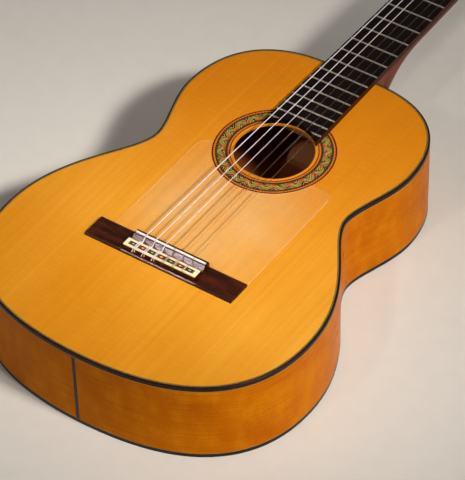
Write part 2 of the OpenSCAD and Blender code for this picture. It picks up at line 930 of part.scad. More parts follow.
module nut() {
  half = fingerboard_half(y_nut);
  top = z_strings_nut + nut_crest;
  fall = nut_thickness * tan(nut_slot_slope);
  color([0.92, 0.87, 0.74])
    difference() {
      along_x(-half, 2 * half)
        polygon([
          [y_nut, z_top], [y_nut, top], [y_nut + nut_thickness / 2, top],
          [y_nut + nut_thickness, top - fall / 2], [y_nut + nut_thickness, z_top],
        ]);
      for (n = [1 : string_count])
        translate([string_x(n, string_spread_nut), y_nut, 0])
          rotate([0, 0, -head_fan_angle(n)])
            along_x(-string_radius(n) - string_clearance, 2 * (string_radius(n) + string_clearance))
              polygon([
                [-nut_thickness, top + eps], [-nut_thickness, z_strings_nut], [0, z_strings_nut],
                [2 * nut_thickness, z_strings_nut - 2 * fall], [2 * nut_thickness, top + eps],
              ]);
    }
}

// Bridge, saddle and trim, in a frame on the soundboard at the saddle line

module bridge_frame() {
  translate([0, y_saddle, z_top])
    children();
}

module wing_profile() {
  polygon([
    [bridge_front, 0], [bridge_front, bridge_wing_thickness - bridge_edge],
    [bridge_front - bridge_edge, bridge_wing_thickness],
    [bridge_bevel_run - bridge_back, bridge_wing_thickness],
    [-bridge_back, bridge_wing_thickness - bridge_bevel_drop], [-bridge_back, 0],
  ]);
}

module block_profile() {
  wall_back = -saddle_half_slot - saddle_wall;
  bed = tie_block_height - tie_trim_thickness;
  polygon([
    [bridge_front, 0], [bridge_front, saddle_wall_height - bridge_edge],
    [bridge_front - bridge_edge, saddle_wall_height], [wall_back, saddle_wall_height],
    [-tie_block_front + channel_floor, bridge_channel], [-tie_block_front, bridge_channel],
    [-tie_block_front, bed], [-tie_block_back, bed],
    [-tie_block_back, bridge_wing_thickness], [bridge_bevel_run - bridge_back, bridge_wing_thickness],
    [-bridge_back, bridge_wing_thickness - bridge_bevel_drop], [-bridge_back, 0],
  ]);
}

module bridge() {
  half = bridge_length / 2;
  block_half = bridge_block_length / 2;
  bed = tie_block_height - tie_trim_thickness;
  color([0.2, 0.1, 0.09])
    bridge_frame()
      difference() {
        union() {
          along_x(-half, bridge_length)
            wing_profile();
          along_x(-block_half, bridge_block_length)
            block_profile();
          block([tie_trim_end - block_half, tie_trim_width - tie_block_back, bridge_wing_thickness],
                [block_half - tie_trim_end, -tie_block_front - tie_trim_width,
                 tie_block_height - mosaic_depth]);
        }
        block([-saddle_length / 2 - saddle_clearance, -saddle_half_slot, saddle_slot_floor],
              [saddle_length / 2 + saddle_clearance, saddle_half_slot, 2 * saddle_height]);
        for (n = [1 : string_count])
          translate([string_x(n, string_spread_saddle), -tie_block_back - overcut, tie_hole_height])
            rotate([-90, 0, 0])
              cylinder(h = tie_block_width + 2 * overcut, d = tie_hole_diameter);
      }
}

module saddle() {
  r = saddle_thickness / 2;
  color([0.93, 0.9, 0.82])
    bridge_frame()
      along_x(-saddle_length / 2, saddle_length) {
        rect([-r, saddle_slot_floor], [r, saddle_height - r]);
        translate([0, saddle_height - r])
          circle(r);
      }
}

module tie_block_trim() {
  half = bridge_block_length / 2;
  inner_half = half - tie_trim_end;
  color([0.9, 0.82, 0.62])
    bridge_frame()
      level(tie_block_height - tie_trim_thickness, tie_block_height)
        difference() {
          rect([-half, -tie_block_back], [half, -tie_block_front]);
          rect([-inner_half, tie_trim_width - tie_block_back],
               [inner_half, -tie_block_front - tie_trim_width]);
        }
}

// Headstock

function crest_half() = concat(
  [for (k = [0 : crest_steps])
    bezier([[head_half, crest_start], [head_half, crest_start + crest_height / 4],
            [crest_width / 2 + crest_flank, crest_start + crest_height / 5],
            [crest_width / 2, crest_start + crest_height / 2]], k / crest_steps)],
  [for (k = [1 : crest_steps])
    bezier([[crest_width / 2, crest_start + crest_height / 2],
            [crest_width / 2 - crest_flank, crest_start + crest_height * crest_shoulder],
            [crest_width / 4, head_length], [0, head_length]], k / crest_steps)]);

module head_outline(start) {
  flare = [for (k = [0 : flare_steps])
    let (u = start + (head_flare_length - start) * k / flare_steps)
    [head_flare(u), u]];
  half = concat(flare, crest_half());
  polygon(concat(half, [for (i = [len(half) - 2 : -1 : 0]) [-half[i].x, half[i].y]]));
}

module string_slots() {
  r = head_slot_width / 2;
  low = first_roller - 2 * roller_radius - r;
  high = last_roller + 2 * roller_radius + r;
  for (x = [-slot_middle, slot_middle]) {
    level(-far, far) {
      rect([x - r, low + r], [x + r, high - r]);
      translate([x, low + r])
        circle(r);
      translate([x, high - r])
        circle(r);
    }
    along_x(x - r, 2 * r)
      polygon([
        [low + r - ramp_length, eps], [low + r, -ramp_depth], [low + r, head_plate_thickness],
        [low + r - ramp_length, head_plate_thickness],
      ]);
  }
}

module at_tuner(n) {
  translate([0, roller_u(n), tuner_w])
    children();
}

function tuner_screw_places() = [
  tuner_plate_start + tuner_screw_from_end,
  first_roller + tuner_screw_from_roller,
  first_roller + roller_spacing + tuner_screw_from_roller,
  tuner_plate_end - tuner_screw_from_end,
];

module at_tuner_screws() {
  for (u = tuner_screw_places())
    translate([0, u, tuner_w])
      children();
}

module headstock() {
  color([0.42, 0.2, 0.12])
    head_frame()
      difference() {
        level(-head_plate_thickness - head_thickness, -head_plate_thickness)
          head_outline(head_joint);
        string_slots();
        for (s = [0, 1])
          mirror([s, 0, 0]) {
            for (n = [1 : treble_count])
              at_tuner(n)
                shaft_x(bar_half - roller_tip_depth, head_width, roller_radius + shaft_clearance);
            at_tuner_screws()
              shaft_x(head_half - screw_length - end_play, head_width,
                      screw_shank_radius + shaft_clearance / 2);
          }
      }
}

module head_plate() {
  color([0.15, 0.08, 0.07])
    difference() {
      head_frame()
        difference() {
          level(-head_plate_thickness, 0)
            head_outline(0);
          string_slots();
        }
      block([-far, y_tail, 0], [far, y_head, far]);
    }
}

// Tuning machines: plates, screws, rollers, gears, worms and buttons

module tuner_plate(side) {
  r = tuner_plate_width / 2;
  outer = tuner_plate_thickness;
  color([0.78, 0.62, 0.32])
    on_side(side)
      difference() {
        union() {
          translate([0, 0, tuner_w])
            along_x(head_half, outer) {
              rect([tuner_plate_start + r, -r], [tuner_plate_end - r, r]);
              for (u = [tuner_plate_start + r, tuner_plate_end - r])
                translate([u, 0])
                  circle(r);
            }
          for (n = [1 : treble_count])
            for (s = [-1, 1])
              bearing_ear(n, s);
        }
        for (n = [1 : treble_count]) {
          at_tuner(n)
            shaft_x(head_half - overcut, gear_x, journal_radius + shaft_clearance);
          at_worm(n)
            translate([0, 0, -worm_length])
              cylinder(h = 2 * worm_length, r = worm_shaft_radius + shaft_clearance);
        }
        at_tuner_screws()
          shaft_x(head_half - overcut, gear_x, screw_shank_radius + shaft_clearance / 2);
      }
}

module at_worm(n) {
  at_tuner(n)
    translate([worm_x, -mesh_distance, 0])
      children();
}

module bearing_ear(n, s) {
  base = head_half + tuner_plate_thickness / 2 - worm_x;
  at_worm(n)
    level(s > 0 ? ear_w : -ear_w - ear_thickness, s > 0 ? ear_w + ear_thickness : -ear_w) {
      rect([base, -ear_radius], [0, ear_radius]);
      circle(ear_radius);
    }
}

module tuner_plate_bass() {
  tuner_plate(-1);
}

module tuner_plate_treble() {
  tuner_plate(1);
}

module tuner_screws() {
  seat = head_half + tuner_plate_thickness;
  color([0.8, 0.66, 0.38])
    for (side = [-1, 1])
      on_side(side)
        at_tuner_screws() {
          shaft_x(head_half - screw_length, seat + eps, screw_shank_radius);
          shaft_x(seat, seat + screw_head_height * screw_rim_share, screw_head_radius);
          shaft_x(seat, seat + screw_head_height, screw_head_radius * screw_dome_share);
        }
}

// A roller's angle counts from the head's face over the top, away from the nut
function on_roller(n, angle, radius, x) =
  head_point([string_side(n) * x, roller_u(n) + radius * sin(angle), tuner_w + radius * cos(angle)]);

function wrap_radius(n) = roller_radius + roller_string_gap + string_radius(n);
function coil_radius(n) = roller_radius + string_clearance + string_radius(n);

// Places of a string on its roller: the still end first, then the turns beside it
function wrap_x(n) = bar_half + wrap_places[tuner_row(n)];
function coil_way(n) = tuner_row(n) == 0 ? -1 : 1;
function coil_pitch(n) = 2 * string_radius(n) + winding_gap;
function coil_x(n, turn) =
  wrap_x(n) + coil_way(n) * (2 * string_radius(n) + roller_string_gap + coil_pitch(n) * turn);

// Sideways angle of a string between the nut and its roller
function head_fan_angle(n) =
  let (
    end = on_roller(n, touch_angle(n), wrap_radius(n), wrap_x(n)),
    start = [string_x(n, string_spread_nut), y_nut]
  )
  atan2(end.x - start.x, end.y - start.y);

// Angle at which a string from the nut first touches its roller
function touch_angle(n) =
  let (
    rise = z_strings_nut + string_radius(n) + string_clearance - z_head,
    du = -nut_thickness * cos(head_tilt) - rise * sin(head_tilt) - roller_u(n),
    dw = -nut_thickness * sin(head_tilt) + rise * cos(head_tilt) - tuner_w
  )
  atan2(du, dw) + acos(wrap_radius(n) / norm([du, dw]));

module roller(n) {
  coil_end = coil_x(n, winding_turns);
  color([0.9, 0.86, 0.76])
    on_side(string_side(n))
      at_tuner(n)
        difference() {
          union() {
            shaft_x(bar_half - roller_tip_depth + end_play, head_half - end_play, roller_radius);
            shaft_x(head_half - end_play - eps, gear_x, journal_radius);
            block([gear_x - eps, -gear_square / 2, -gear_square / 2],
                  [gear_x + gear_thickness, gear_square / 2, gear_square / 2]);
          }
          shaft_x(gear_x + gear_thickness - gear_screw_depth - end_play, gear_x + gear_thickness + overcut,
                  gear_screw_radius + shaft_clearance / 2);
          translate([coil_end, 0, 0])
            rotate([-coil_start - coil_dive, 0, 0])
              cylinder(h = 3 * roller_radius, d = roller_hole, center = true);
        }
}

function gear_tooth_point(radius, angle) = [-radius * cos(angle), radius * sin(angle)];

// Half the angle that a tooth fills at a height above the pitch line
function tooth_half_angle(height) =
  (worm_pitch * tooth_share / 2 - height * tan(tooth_angle)) / (gear_pitch_radius + height) * 180 / PI;

module gear_outline() {
  tip = gear_pitch_radius + tooth_addendum;
  root = gear_pitch_radius - tooth_dedendum;
  tip_half = tooth_half_angle(tooth_addendum);
  root_half = tooth_half_angle(-tooth_dedendum);
  polygon([
    for (i = [0 : gear_teeth - 1])
      let (a = 360 * (i + 0.5) / gear_teeth)
      for (p = [[root, -root_half], [tip, -tip_half], [tip, tip_half], [root, root_half]])
        gear_tooth_point(p[0], a + p[1]),
  ]);
}

module gear(n) {
  face = gear_x + gear_thickness;
  fit = shaft_clearance / 4;
  color([0.75, 0.58, 0.28])
    on_side(string_side(n))
      at_tuner(n) {
        along_x(gear_x, gear_thickness)
          difference() {
            gear_outline();
            square(gear_square + 2 * fit, center = true);
          }
        shaft_x(face - gear_screw_depth, face + 2 * fit, gear_screw_radius);
        shaft_x(face + fit, face + gear_screw_height, gear_screw_head);
      }
}

// Radius of the worm's cross-section at an angle from the middle of its thread
function worm_section_radius(angle) =
  let (
    crest = worm_pitch_radius + tooth_addendum,
    root = worm_pitch_radius - tooth_dedendum + worm_root_fill,
    half = worm_pitch * tooth_share / 2 - tooth_addendum * tan(tooth_angle),
    along = abs(angle) / 360 * worm_pitch
  )
  max(root, min(crest, crest - (along - half) / tan(tooth_angle)));

module worm_thread() {
  turns = worm_length / worm_pitch;
  rotate([0, 0, 90 - 180 * turns])
    translate([0, 0, -worm_length / 2])
      linear_extrude(worm_length, twist = -360 * turns, segments = 360 / thread_step,
                     slices = ceil(turns * thread_slices_per_turn))
        polygon([for (a = [-180 : thread_step : 180 - thread_step])
          worm_section_radius(a) * [cos(a), sin(a)]]);
}

module worm(n) {
  color([0.8, 0.66, 0.36])
    on_side(string_side(n))
      at_worm(n)
        union() {
          worm_thread();
          translate([0, 0, button_w - tuner_w - button_height / 2])
            cylinder(h = tuner_w - button_w + button_height / 2 + ear_w + ear_thickness + worm_end,
                     r = worm_shaft_radius);
        }
}

// A button seen along its thickness is a flat oval, and seen along its shaft it thins to its wings
module button(n) {
  edge = button_height / 2;
  tip = button_thickness / 4;
  bow = (pow(button_radius, 2) + pow(tip, 2)) / (2 * tip);
  color([0.9, 0.85, 0.72])
    on_side(string_side(n))
      at_worm(n)
        translate([0, 0, button_w - tuner_w - button_height])
          difference() {
            intersection() {
              translate([0, button_thickness / 2, edge])
                rotate([90, 0, 0])
                  linear_extrude(button_thickness) {
                    square([2 * (button_radius - edge), button_height], center = true);
                    for (x = [edge - button_radius, button_radius - edge])
                      translate([x, 0])
                        circle(edge);
                  }
              level(0, button_height)
                intersection_for (s = [-1, 1])
                  translate([0, s * (bow - button_thickness / 2)])
                    circle(bow);
            }
            translate([0, 0, edge - end_play])
              cylinder(h = button_height, r = worm_shaft_radius + shaft_clearance / 4);
          }
}

// Strings: each is one tube from its tied end over saddle and nut to its roller

// A strand over the tie block, rounding both of its top edges, from the back face to the front face
function strand_over(x, r) =
  let (
    reach = r + string_clearance,
    back = y_saddle - tie_block_back,
    front = y_saddle - tie_block_front,
    z = z_top + tie_block_height
  )
  concat(
    [for (a = [0 : corner_step : 90]) [x, back - reach * cos(a), z + reach * sin(a)]],
    [for (a = [90 : -corner_step : 0]) [x, front + reach * cos(a), z + reach * sin(a)]]);

function reversed(list) = [for (i = [len(list) - 1 : -1 : 0]) list[i]];

// The tied end: over the block, under the string itself, back over the block and into its hole
function tie_route(n) =
  let (
    r = string_radius(n),
    x = string_x(n, string_spread_saddle),
    s = tie_loop_spread / 2,
    k = tie_knot_spread / 2,
    front = y_saddle - tie_block_front + r + string_clearance,
    behind = y_saddle - tie_block_back - r - string_clearance,
    top = z_top + tie_block_height,
    hole = z_top + tie_hole_height
  )
  concat(
    [
      [x - s - tie_tail_turn, behind - tie_tail_reach, top - tie_tail_drop],
      [x - s - tie_tail_turn / 2, behind - tie_tail_reach / 3, top - tie_tail_drop / 2],
    ],
    strand_over(x - s, r),
    [
      [x - k, front, hole - tie_dip / 5],
      [x - k / 2, front, hole - tie_dip],
      [x + k / 2, front, hole - tie_dip],
      [x + k, front, hole - tie_dip / 5],
    ],
    reversed(strand_over(x + s, r)),
    [
      [x + s / 2, behind, hole + tie_entry],
      [x, behind, hole + tie_entry / 2],
      [x, behind + tie_entry / 5, hole + tie_entry / 8],
      [x, behind + tie_entry * 2 / 3, hole],
      [x, y_saddle - tie_block_front - tie_hole_exit, hole],
    ]);

function string_route(n) =
  let (
    r = string_radius(n),
    crest = z_top + saddle_height + r + string_clearance,
    x = string_x(n, string_spread_saddle),
    start = touch_angle(n)
  )
  concat(
    tie_route(n),
    [
      [x, y_saddle - saddle_thickness / 2, crest - saddle_break],
      [x, y_saddle, crest],
      [string_x(n, string_spread_nut), y_nut, z_strings_nut + r + string_clearance],
    ],
    [for (a = [start : wrap_step : start + wrap_angle]) on_roller(n, a, wrap_radius(n), wrap_x(n))]);

module string(n) {
  color(n <= treble_count ? [0.86, 0.78, 0.62] : [0.78, 0.78, 0.76])
    tube(string_route(n), string_radius(n));
}

function coil_points(n) = [
  for (k = [0 : loop_rings * winding_turns])
    let (turn = k / loop_rings)
    on_roller(n, coil_start + 360 * turn, coil_radius(n), coil_x(n, turn)),
];

function winding_route(n) =
  let (
    last = coil_start + 360 * winding_turns,
    x = coil_x(n, winding_turns),
    r = string_radius(n)
  )
  concat(
    coil_points(n),
    [
      on_roller(n, last + coil_dive, coil_radius(n) - r, x),
      on_roller(n, last + coil_dive, roller_radius - winding_end_depth, x),
      on_roller(n, last + coil_dive, roller_radius - winding_end_depth - 2 * r, x),
    ]);

// Least free gap between points of a winding that are more than half a turn apart
function least_gap(n) =
  let (p = coil_points(n))
  min([for (i = [0 : len(p) - 1])
    for (j = [i + loop_rings / 2 : len(p) - 1])
      norm(p[i] - p[j])]) - 2 * string_radius(n);

module winding(n) {
  echo(winding = n, least_gap = least_gap(n));
  color(n <= treble_count ? [0.86, 0.78, 0.62] : [0.78, 0.78, 0.76])
    tube(winding_route(n), string_radius(n));
}

soundboard();
rosette();
back();
side_bass();
side_treble();
bindings();
tap_plate();
tail_block();
linings();
top_braces();
back_braces();
neck();
heel_cap();
fingerboard();
frets();
nut();
bridge();
saddle();
tie_block_trim();
headstock();
head_plate();
tuner_plate_bass();
tuner_plate_treble();
tuner_screws();
for (n = [1 : string_count]) {
  roller(n);
  gear(n);
  worm(n);
  button(n);
  string(n);
  winding(n);
}
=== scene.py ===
# %% [markdown]
# # Dressing a classical guitar
# The frame holds the guitar as it was constructed: sixty nodes, each in its place, in metres.
# Nodes that already have the right shape keep it and get a finish. Finer pieces are modelled here for
# those that the nodes only block out: the bent sides, the edge strips, the tap plate, the strings and
# the screws.

# %% Load the frame
import math

import bmesh
import bpy
from mathutils import Matrix, Vector
from mathutils.geometry import interpolate_bezier


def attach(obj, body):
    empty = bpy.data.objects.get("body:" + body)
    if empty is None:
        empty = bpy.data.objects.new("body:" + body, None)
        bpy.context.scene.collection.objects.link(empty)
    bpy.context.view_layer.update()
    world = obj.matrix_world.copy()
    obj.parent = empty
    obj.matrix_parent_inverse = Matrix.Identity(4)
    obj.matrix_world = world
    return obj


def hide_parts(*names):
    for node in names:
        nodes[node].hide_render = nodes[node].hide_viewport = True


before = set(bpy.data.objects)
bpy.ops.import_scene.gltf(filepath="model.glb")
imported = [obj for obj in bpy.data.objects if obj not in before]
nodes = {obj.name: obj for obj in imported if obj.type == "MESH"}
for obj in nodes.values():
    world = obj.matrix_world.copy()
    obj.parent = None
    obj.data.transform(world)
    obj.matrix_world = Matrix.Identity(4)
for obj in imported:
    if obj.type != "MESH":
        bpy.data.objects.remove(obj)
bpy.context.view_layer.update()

scene = bpy.context.scene
MM = 0.001

# %% [markdown]
# The guitar's lengths are in millimetres here, and MM turns them into metres; lights and camera are
# placed in metres. The tail is at TAIL_Y, and the other main places follow from it: the saddle, the middle
# of the soundhole, the joint of body and neck, and the nut, one scale length from the saddle.

# %% Main places
TAIL_Y = -497.573
SADDLE_Y, HOLE_Y, JOINT_Y = TAIL_Y + 160, TAIL_Y + 339.5, TAIL_Y + 485
SCALE_LENGTH = 650
NUT_Y = SADDLE_Y + SCALE_LENGTH
BODY_DEPTH = 95.0
BOARD_HIGH, FRET_HIGH = 6.5, 1.2
STRINGS = range(1, 7)
TREBLES = 3
print("saddle at", round(SADDLE_Y, 1), "and nut at", round(NUT_Y, 1))

# %% [markdown]
# A finish is a material made of nodes. Wiring nodes by hand hides the idea behind it, so two small
# classes let a finish be written as sums: a Wire is one value that varies over a surface, and adding or
# multiplying wires adds the Math nodes. Every other node comes from the one method named node.

# %% Wires and finishes
class Wire:
    """A value inside a finish; arithmetic on it adds Math nodes."""

    def __init__(self, finish, socket):
        self.finish = finish
        self.socket = socket

    def math(self, operation, *others):
        return self.finish.calculate(operation, self, *others)

    def __add__(self, other):
        return self.math("ADD", other)

    def __sub__(self, other):
        return self.math("SUBTRACT", other)

    def __rsub__(self, other):
        return self.finish.calculate("SUBTRACT", other, self)

    def __mul__(self, other):
        return self.math("MULTIPLY", other)

    def __truediv__(self, other):
        return self.math("DIVIDE", other)

    def __gt__(self, other):
        return self.math("GREATER_THAN", other)

    def __lt__(self, other):
        return self.math("LESS_THAN", other)

    def __abs__(self):
        return self.math("ABSOLUTE")


class Finish:
    """A material and the few calls that wire it."""

    def __init__(self, name, **fixed):
        self.material = bpy.data.materials.new(name)
        self.material.use_nodes = True
        self.tree = self.material.node_tree
        self.surface = self.tree.nodes["Principled BSDF"]
        self.put(**fixed)

    def put(self, **sockets):
        for name, value in sockets.items():
            self.plug(self.surface.inputs[name.replace("_", " ").title().replace("Ior", "IOR")], value)

    def so_far(self, name):
        """What feeds a socket now, so that more can be laid over it."""
        return Wire(self, self.surface.inputs[name].links[0].from_socket)

    def plug(self, socket, value):
        if isinstance(value, Wire):
            self.tree.links.new(value.socket, socket)
        else:
            socket.default_value = value

    def node(self, kind, settings=None, sockets=None, output=0):
        made = self.tree.nodes.new(kind)
        for name, value in (settings or {}).items():
            if name == "stops":
                while len(made.color_ramp.elements) < len(value):
                    made.color_ramp.elements.new(1.0)
                for element, (place, colour) in zip(made.color_ramp.elements, value):
                    element.position = place
                    element.color = colour
            elif name == "steps":
                made.color_ramp.interpolation = value
            else:
                setattr(made, name, value)
        for key, value in (sockets or {}).items():
            self.plug(made.inputs[key], value)
        return Wire(self, made.outputs[output])

    def calculate(self, operation, *values):
        return self.node("ShaderNodeMath", {"operation": operation}, dict(enumerate(values)))

    def place(self, **mapping):
        """Object coordinates in millimetres, moved, turned or stretched by a Mapping node."""
        spot = self.node("ShaderNodeTexCoord", output="Object")
        spot = self.node("ShaderNodeVectorMath", {"operation": "SCALE"}, {0: spot, "Scale": 1 / MM})
        return self.mapped(spot, **mapping) if mapping else spot

    def mapped(self, spot, location=(0, 0, 0), rotation=(0, 0, 0), scale=(1, 1, 1)):
        return self.node("ShaderNodeMapping", None, {
            "Vector": spot, "Location": location, "Rotation": rotation, "Scale": scale})

    def split(self, spot):
        return [self.node("ShaderNodeSeparateXYZ", None, {0: spot}, axis) for axis in range(3)]

    def facing(self):
        """How far the flat face under a point looks along each axis, from -1 to 1."""
        return self.split(self.node("ShaderNodeNewGeometry", output="True Normal"))

    def joined(self, x, y, z):
        return self.node("ShaderNodeCombineXYZ", None, {0: x, 1: y, 2: z})

    def noise(self, spot, scale, detail, roughness=0.5):
        """Soft random patches from 0 to 1, long in the directions where the scale is small."""
        return self.node("ShaderNodeTexNoise", None, {
            "Vector": self.mapped(spot, scale=scale), "Scale": 1.0, "Detail": detail,
            "Roughness": roughness})

    def step(self, value, low, high, first=0.0, last=1.0):
        """Goes smoothly from first to last while value goes from low to high."""
        return self.node("ShaderNodeMapRange", {"interpolation_type": "SMOOTHSTEP"}, {
            "Value": value, "From Min": low, "From Max": high, "To Min": first, "To Max": last})

    def blend(self, share, under, over, kind="MIX"):
        return self.node("ShaderNodeMix", {"data_type": "RGBA", "blend_type": kind}, {
            0: share, 6: under, 7: over}, 2)

    def ramp(self, value, stops, steps):
        return self.node("ShaderNodeValToRGB", {"stops": stops, "steps": steps}, {0: value})

    def bump(self, height, depth, strength=1.0):
        """Turns a height from 0 to 1 into relief that is depth millimetres deep."""
        return self.node("ShaderNodeBump", None, {
            "Height": height, "Distance": depth * MM, "Strength": strength})

    def trait(self, name):
        """A value that a piece carries on its own points."""
        return self.node("ShaderNodeAttribute", {"attribute_name": name}, None, "Fac")


def tint(red, green, blue):
    """A screen colour, 0 to 255, as the linear colour that a shader works with."""
    linear = []
    for level in (red / 255, green / 255, blue / 255):
        linear.append(level / 12.92 if level <= 0.04045 else ((level + 0.055) / 1.055) ** 2.4)
    return (*linear, 1.0)


print("a middle screen grey is", round(tint(128, 128, 128)[0], 3), "in linear light")

# %% [markdown]
# A node from the frame is never moved or cut. It is dressed: it gets a finish, its loose triangles are
# welded by a modifier so that round faces shade round, and sharp corners may get a small bevel, because
# no real edge is perfectly sharp. A new piece is built as a bmesh and then placed, finished and told
# which body carries it.

# %% Dress nodes and add pieces
CORNER = math.radians(32)
WELD_GAP = 0.002


def dress(finish, *names, round_edges=0.0):
    for name in names:
        piece = nodes[name]
        piece.data.materials.clear()
        piece.data.materials.append(finish.material)
        piece.data.polygons.foreach_set("use_smooth", [True] * len(piece.data.polygons))
        piece.modifiers.new("Weld", "WELD").merge_threshold = WELD_GAP * MM
        if round_edges:
            bevel = piece.modifiers.new("Bevel", "BEVEL")
            bevel.width = round_edges * MM
            bevel.segments = 3
            bevel.limit_method = "ANGLE"
            bevel.angle_limit = CORNER
        split = piece.modifiers.new("EdgeSplit", "EDGE_SPLIT")
        split.split_angle = CORNER
        piece.modifiers.new("WeightedNormal", "WEIGHTED_NORMAL").weight = 100
    print("dressed", ", ".join(names))


def points_of(made):
    """The points among the geometry that an operator made."""
    return [v for v in made if isinstance(v, bmesh.types.BMVert)]


def break_edges(shape, edges, width, segments):
    bmesh.ops.bevel(
        shape, geom=edges, offset=width * MM, affect="EDGES", segments=segments, profile=0.5, material=-1)


def add_piece(name, shape, finish, body, stands_for=()):
    mesh = bpy.data.meshes.new(name)
    shape.to_mesh(mesh)
    shape.free()
    mesh.materials.append(finish.material)
    mesh.polygons.foreach_set("use_smooth", [True] * len(mesh.polygons))
    mesh.set_sharp_from_angle(angle=CORNER)
    piece = bpy.data.objects.new(name, mesh)
    scene.collection.objects.link(piece)
    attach(piece, body)
    if stands_for:
        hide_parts(*stands_for)
    print(name, "has", len(mesh.polygons), "faces")


# %% [markdown]
# The soundboard is spruce, split in two and opened like a book, so its year lines mirror at the middle.
# The late wood of each year is a thin dark line, closer together near the middle. Faint silky marks run
# across them. A texture image would blur close up, so the lines are worked out from the distance to the
# middle, with a little wander added by noise. The colour is palest in the middle, darker at the tail and
# darker and redder at the neck, as painted shade where the light falls off.

# %% Spruce for the soundboard
NECK_SHADE_FADE, TAIL_SHADE_FADE = (-430, -60), (-420, -300)


def spruce_lines(finish, spot):
    x = finish.split(spot)[0]
    wander = finish.noise(spot, (0.012, 0.0025, 0), 2.0) * 9
    across = abs(x) + wander
    years = across * 0.85 - across * across * 0.0012
    year = years.math("FRACT")
    late = finish.step(year, 0.45, 0.93) * finish.step(year, 0.94, 1.0, 1.0, 0.0)
    weight = finish.noise(spot, (0.16, 0.001, 0), 2.0)
    return late * finish.step(weight, 0.3, 0.75, 0.25, 1.0)


spruce = Finish(
    "golden_spruce", specular_ior_level=0.15, specular_tint=(1.0, 0.78, 0.5, 1.0), coat_weight=0.02,
    coat_roughness=0.15)
top_spot = spruce.place()
year_lines = spruce_lines(spruce, top_spot)
silk = spruce.noise(top_spot, (0.05, 0.55, 0), 2.0)
cloud = spruce.noise(top_spot, (0.011, 0.005, 0), 3.0)
fibres = spruce.noise(top_spot, (2.2, 0.05, 0), 2.0)
streaks = spruce.noise(top_spot, (0.2, 0.0022, 0), 4.0, 0.6)
across, along, _ = spruce.split(top_spot)
# Painted shade: the tones below darken the top towards the tail and towards the neck, where the light falls
# off.
neck_shade_share = spruce.step(along, *NECK_SHADE_FADE)
clear_of_tail_shade = spruce.step(across * 0.3 + along * 0.95, *TAIL_SHADE_FADE)
patchy = spruce.step(cloud, 0.3, 0.7)
tail_shade_tone = spruce.blend(patchy, tint(206, 134, 22), tint(214, 147, 35))
middle_tone = spruce.blend(patchy, tint(226, 159, 44), tint(234, 172, 60))
tone_with_tail_shade = spruce.blend(clear_of_tail_shade, tail_shade_tone, middle_tone)
neck_shade_tone = spruce.blend(patchy, tint(206, 120, 8), tint(214, 133, 14))
top_colour = spruce.blend(neck_shade_share, tone_with_tail_shade, neck_shade_tone)
top_colour = spruce.blend(spruce.step(streaks, 0.48, 0.7, 0.0, 0.28), top_colour, tint(206, 118, 10))
top_colour = spruce.blend(spruce.step(streaks, 0.46, 0.28, 0.0, 0.13), top_colour, tint(244, 176, 54))
top_colour = spruce.blend(year_lines * 0.55, top_colour, tint(184, 96, 6))
top_colour = spruce.blend(spruce.step(silk, 0.5, 0.75, 0.0, 0.14), top_colour, tint(244, 178, 58))
top_colour = spruce.blend(spruce.step(fibres, 0.35, 0.7, 0.0, 0.15), top_colour, tint(202, 118, 12))
spruce.put(
    base_color=top_colour,
    roughness=spruce.step(cloud, 0.25, 0.75, 0.32, 0.42),
    normal=spruce.bump(year_lines * 0.6 + fibres * 0.4, 0.02, 0.35))
dress(spruce, "soundboard")

# %% [markdown]
# The rosette is a ring of tiny wooden tiles between amber lines that are edged with black dashes. Real
# ones are sawn from stacked veneers, so the pattern repeats round the ring in small square steps.
# Modelling each tile would take thousands of blocks for a flush surface, so the tiles are drawn: the
# angle and the distance from the middle are rounded to tile steps, and zigzag bands follow from the two.

# %% Mosaic for the rosette
REPEATS, TILES_PER_REPEAT = 22, 20
REPEAT_ANGLE = 360 / REPEATS
RED_MARK_ANGLE = 9.2
TILE_ANGLE, TILE = REPEAT_ANGLE / TILES_PER_REPEAT, 0.77
MOSAIC_IN, MOSAIC_OUT, RIM = 49.3, 58.6, 0.5
REPEAT_LENGTH = math.radians(REPEAT_ANGLE) * (MOSAIC_IN + MOSAIC_OUT) / 2
navy, teal, leaf, olive = tint(8, 11, 54), tint(28, 54, 44), tint(46, 54, 18), tint(100, 106, 28)
straw, tan, brick, ink = tint(202, 174, 82), tint(206, 152, 78), tint(214, 56, 20), tint(10, 6, 5)
amber, amber_dark = tint(214, 124, 42), tint(176, 78, 24)
BLACK_RINGS = ((44.0, 45.6), (47.3, 48.3), (59.3, 60.2), (61.8, 64.0))
LEAF_RINGS = ((48.3, MOSAIC_IN), (MOSAIC_OUT, 59.3))
RED_HALF, RED_LOW, RED_HIGH, RED_FOOT = 2.3, 0.1, 2.5, 1.0
DASHES, DASH_SLANT, DASH_SHARE = 120, 0.3, 0.8

rosette = Finish("rosette_mosaic", specular_ior_level=0.15)
x, y, _ = rosette.split(rosette.place(location=(0, -HOLE_Y, 0)))
radius = (x * x + y * y).math("SQRT")
angle = y.math("ARCTAN2", x) * (180 / math.pi) + 360.0
tile_angle = ((angle / TILE_ANGLE).math("FLOOR") + 0.5) * TILE_ANGLE
tile_height = (((radius - MOSAIC_IN) / TILE).math("FLOOR") + 0.5) * TILE
repeats = (tile_angle - RED_MARK_ANGLE) / REPEAT_ANGLE + 0.5
from_mark = abs(repeats.math("FRACT") - 0.5) * REPEAT_LENGTH
zigzag = tile_height - from_mark
ZIGZAG_LOW, ZIGZAG_SPAN = -8.0, 18.0
bands = [
    (-8.0, teal), (-5.8, straw), (-4.7, navy), (-2.9, tan), (-1.4, olive), (0.1, straw), (1.2, olive),
    (2.5, straw), (3.4, navy), (5.3, tan), (6.6, navy), (7.9, olive)]
mosaic = rosette.ramp(
    (zigzag - ZIGZAG_LOW) / ZIGZAG_SPAN,
    [((low - ZIGZAG_LOW) / ZIGZAG_SPAN, colour) for low, colour in bands], "CONSTANT")
